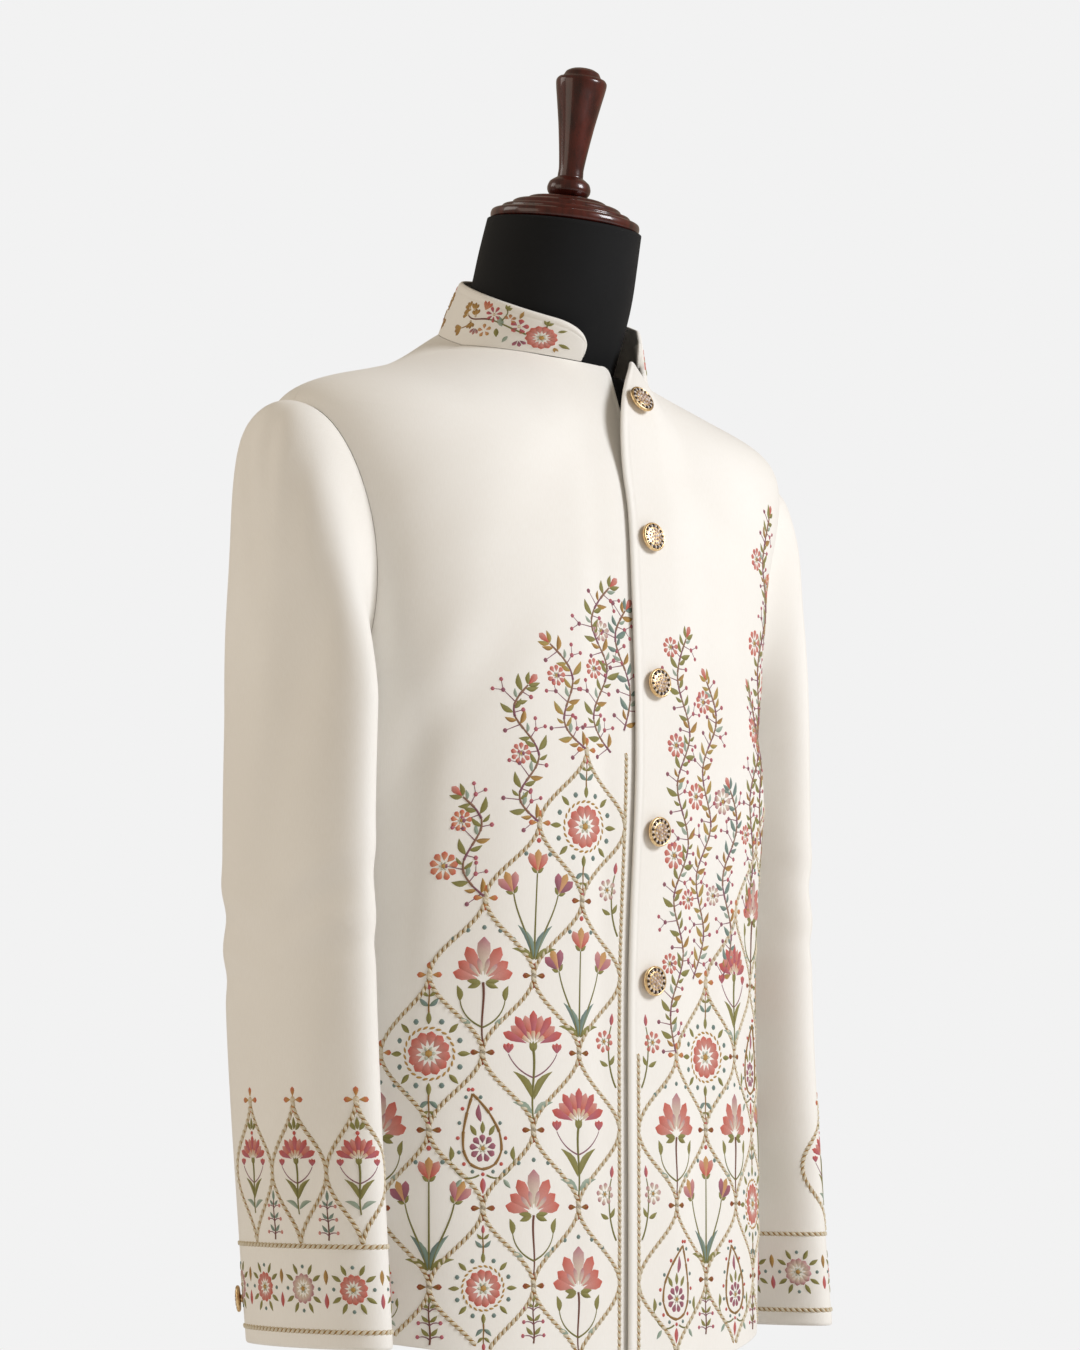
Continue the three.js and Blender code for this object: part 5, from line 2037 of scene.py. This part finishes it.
    def build(self, floss: Material) -> list[Piece]:
        """All pieces of needlework, each a piece on the jacket."""
        works = (self.right_front(), self.left_front(), self.cuff(Side.RIGHT), self.cuff(Side.LEFT),
                 self.stand_collar())
        return [work.build(floss, "ivory_suiting") for work in works]


# ---- dress form and stand

@dataclass
class DressForm:
    """Limbless torso and leaning neck in black jersey, smooth under the jacket."""

    block: Block
    ease: float = 1.3
    waist_ease: float = 3.5
    bottom: float = 14.0
    shoulder_x: float = 180.0
    softness: float = 13.0

    def body(self, level: Array, angle: Array) -> Array:
        """Torso under the cloth, rounded off at the shoulders and flat at its foot.

        Args:
            level: Torso level.
            angle: Angle from the front.

        Returns:
            Points.
        """
        ease = mix(self.waist_ease, self.ease, smooth((level - 4.4) / 1.6))
        normal = self.block.torso_normal(level, angle)
        point = self.block.torso(level, angle) - normal * (self.block.cloth + ease)[..., None]
        x = point[..., 0]
        over = np.maximum(np.abs(x) - self.shoulder_x, 0)
        kept = np.minimum(np.abs(x), self.shoulder_x)
        point[..., 0] = np.sign(x) * (kept + self.softness * np.tanh(over / self.softness))
        flat = HEM + mix(self.bottom, self.block.torso_at(2.0)[1], level / 2)
        point[..., 2] = mix(flat, point[..., 2], smooth(level / 1.6))
        return point

    def build(self, material: Material) -> Piece:
        """One closed skin from the foot to the top of the neck.

        Args:
            material: Its finish.

        Returns:
            The piece.
        """
        count = 128
        angle = np.linspace(0, 2 * pi, count, endpoint=False)[None, :]
        level = np.concatenate([np.linspace(0, 4, 50), np.linspace(4, 7.9, 90)[1:]])[:, None]
        torso = self.body(*np.broadcast_arrays(level, angle))
        step = np.linspace(0, 3, 40)[:, None]
        neck = self.block.form_neck(*np.broadcast_arrays(step, angle))
        rings = np.concatenate([torso, neck])
        length = arc_lengths(rings, 0)
        around = arc_lengths(rings, 1)
        ends = np.stack([rings[0].mean(axis=0), rings[-1].mean(axis=0)])
        uv = np.concatenate([np.stack([around, length], axis=-1).reshape(-1, 2),
                             [[0.0, 0.0], [0.0, 800.0]]])
        mesh = build_mesh("form", np.concatenate([rings.reshape(-1, 3), ends]),
                          tube_faces(len(rings), count), uv)
        obj = add_object(mesh, material)
        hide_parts("form_body")
        return obj


@dataclass
class Turnery:
    """Neck cap, finial, pole and base, turned in mahogany."""

    block: Block
    form: DressForm
    cap_tilt: float = radians(10)
    base_radius: float = 150.0
    base_height: float = 26.0
    pole_radius: float = 16.0
    cap: tuple = ((52.5, 0), (54.4, 1.2), (55, 4), (54.2, 6.8), (52, 8), (48, 8.4), (47.6, 10.2),
                  (46.2, 11.6), (41, 12.6), (39.6, 15.2), (37, 16.6), (30, 17.6), (28.6, 19.4),
                  (26, 20.4), (10, 21))
    finial: tuple = ((10, 0), (13.5, 1.5), (15.6, 4.5), (16, 7.5), (14.6, 11.5), (11.6, 14),
                     (9.6, 15.4), (9.4, 17), (9.2, 22), (10.8, 36), (13.4, 54), (16.6, 72),
                     (18.4, 82), (18.6, 86), (17, 88.4), (14.6, 89.2), (13.6, 90.4), (12, 93.2),
                     (8, 95.4), (3, 96.4))

    def build(self, material: Material) -> list[Piece]:
        """The four turned pieces in place of their solids.

        Args:
            material: Their finish.

        Returns:
            The pieces.
        """
        gap = self.block.seam_gap
        lean = np.array([0.0, -sin(self.cap_tilt), cos(self.cap_tilt)])
        upright = np.array([0.0, 0.0, 1.0])
        z, y = self.block.neck_rows[-1][:2]
        foot = np.array([0.0, y, HEM + z]) + lean * gap
        pole_top = HEM + self.form.bottom - gap - (self.base_height + gap)
        r = self.base_radius
        plans = (
            ("neck_cap", self.cap, foot, lean, 128),
            ("finial", self.finial, foot + lean * (self.cap[-1][1] + gap), lean, 72),
            ("stand_pole", ((24, 0), (26, 3), (24, 7), (19, 10), (self.pole_radius, 16),
                            (self.pole_radius, pole_top - 8), (30, pole_top - 5), (30, pole_top)),
             np.array([0.0, 0.0, self.base_height + gap]), upright, 72),
            ("stand_base", ((r - 3, 0), (r, 3), (r, 12), (r - 4, 17), (r - 14, 19), (r - 60, 21),
                            (r - 110, self.base_height)), np.zeros(3), upright, 160),
        )
        made = []
        for name, profile, start, axis, segments in plans:
            mesh = turned_mesh(name + "_turned", round_profile(profile), start, axis, segments)
            obj = add_object(mesh, material)
            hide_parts(name)
            made.append(obj)
        return made


# ---- studio

@dataclass
class Studio:
    """Camera, soft lights, pale surround and floor."""

    azimuth: float = radians(43)      # camera stands round to the wearer's right
    distance: float = 2.52
    height: float = 0.389
    pitch: float = radians(7.43)
    slide: float = 0.0054
    lens: float = 93.04
    chest: float = 0.72
    surround: float = 0.888
    fill: tuple[float, ...] = (1.0, 0.86, 0.68, 0.32)      # colour and strength
    floor_radius: float = 3300.0
    floor_drop: float = 0.2
    lamps: tuple = (("key", (1.36, -2.92, 2.20), 1.2, 101, (0.92, 0.935, 0.97)),
                    ("side_fill", (-3.10, 0.60, 1.40), 2.0, 17, (1.0, 0.88, 0.74)),
                    ("rim", (-1.6, 1.7, 2.0), 1.2, 12, (1.0, 0.95, 0.88)))

    def hang(self, name: str, data: bpy.types.ID, place: Vector, look: Vector) -> Piece:
        """Puts a camera or a light at a place, turned along a direction.

        Args:
            name: Object's name.
            data: Camera or light.
            place: Where it stands, in metres.
            look: Direction that it faces.

        Returns:
            The new object.
        """
        obj = bpy.data.objects.new(name, data)
        obj.location = place
        obj.rotation_euler = look.to_track_quat("-Z", "Y").to_euler()
        bpy.context.scene.collection.objects.link(obj)
        return obj

    def camera(self) -> None:
        """Camera that looks along the azimuth and a little up, with no shift."""
        right = Vector((cos(self.azimuth), -sin(self.azimuth), 0))
        ahead = Vector((sin(self.azimuth), cos(self.azimuth), 0))
        data = bpy.data.cameras.new("camera")
        data.lens = self.lens
        data.sensor_width = 36.0
        data.clip_end = 50.0
        place = -ahead * self.distance + right * self.slide + Vector((0, 0, self.height))
        look = ahead * cos(self.pitch) + Vector((0, 0, sin(self.pitch)))
        bpy.context.scene.camera = self.hang("camera", data, place, look)

    def lamp(self, name: str, place: Triple, size: float, power: float, colour: Triple) -> None:
        """Square area light aimed at the chest.

        Args:
            name: Light's name.
            place: Where it hangs, in metres.
            size: Side of the square.
            power: Watts.
            colour: Its tint.
        """
        data = bpy.data.lights.new(name, "AREA")
        data.size = size
        data.energy = power
        data.color = colour
        self.hang(name, data, Vector(place), Vector((0, 0, self.chest)) - Vector(place))

    def world(self) -> None:
        """Pale surround to the camera and a softer, warmer fill to the cloth."""
        world = bpy.data.worlds.new("surround")
        bpy.context.scene.world = world
        world.use_nodes = True
        tree = world.node_tree
        tree.nodes.clear()
        path = tree.nodes.new("ShaderNodeLightPath")
        seen, fill = (tree.nodes.new("ShaderNodeBackground") for _ in range(2))
        seen.inputs["Color"].default_value = (self.surround,) * 3 + (1.0,)
        fill.inputs["Color"].default_value = (*self.fill[:3], 1.0)
        fill.inputs["Strength"].default_value = self.fill[3]
        mixed = tree.nodes.new("ShaderNodeMixShader")
        output = tree.nodes.new("ShaderNodeOutputWorld")
        sources = (path.outputs["Is Camera Ray"], fill.outputs[0], seen.outputs[0])
        for source, socket in zip(sources, mixed.inputs):
            tree.links.new(source, socket)
        tree.links.new(mixed.outputs[0], output.inputs[0])

    def floor(self, material: Material) -> None:
        """Flat round floor.

        Args:
            material: Its finish.
        """
        count = 96
        k = np.arange(count)
        angle = 2 * pi * k / count
        ring = self.floor_radius * stack(np.cos(angle), np.sin(angle), 0 * angle)
        points = np.concatenate([ring, np.zeros((1, 3))]) - [0, 0, self.floor_drop]
        tris = np.stack([k, (k + 1) % count, np.full(count, count)], axis=1)
        mesh = build_mesh("floor", points, tris, sided=True)
        mesh.materials.append(material)
        obj = bpy.data.objects.new("floor", mesh)
        bpy.context.scene.collection.objects.link(obj)

    def build(self, floor_finish: Material) -> None:
        """Everything round the piece.

        Args:
            floor_finish: The floor's finish.
        """
        self.camera()
        self.world()
        self.floor(floor_finish)
        for lamp in self.lamps:
            self.lamp(*lamp)
        scene = bpy.context.scene
        scene.view_settings.view_transform = "Standard"
        scene.view_settings.look = "None"


def main() -> None:
    """Builds the studio, the form and the jacket in order, and reports each piece."""
    logging.basicConfig(level=logging.INFO, format="%(name)s: %(message)s")
    suiting = Suiting().build()
    Studio().build(StudioFloor().build())
    block = Block()
    form = DressForm(block)
    fronts = Fronts(block)
    sleeves = Sleeves(block)
    mahogany = Mahogany().build()
    made = [form.build(Jersey().build())]
    made += Turnery(block, form).build(mahogany)
    made += fronts.build(suiting)
    made += sleeves.build(suiting)
    made += Collar(block).build(suiting)
    made += Buttons(block, fronts, sleeves).build(Gilt().build(), Stones().build())
    made += Embroidery(fronts, sleeves, CollarCloth(block)).build(Floss().build())
    for piece in made:
        log.info("%s: %d faces", piece.name, len(piece.data.polygons))


if __name__ == "__main__":
    main()
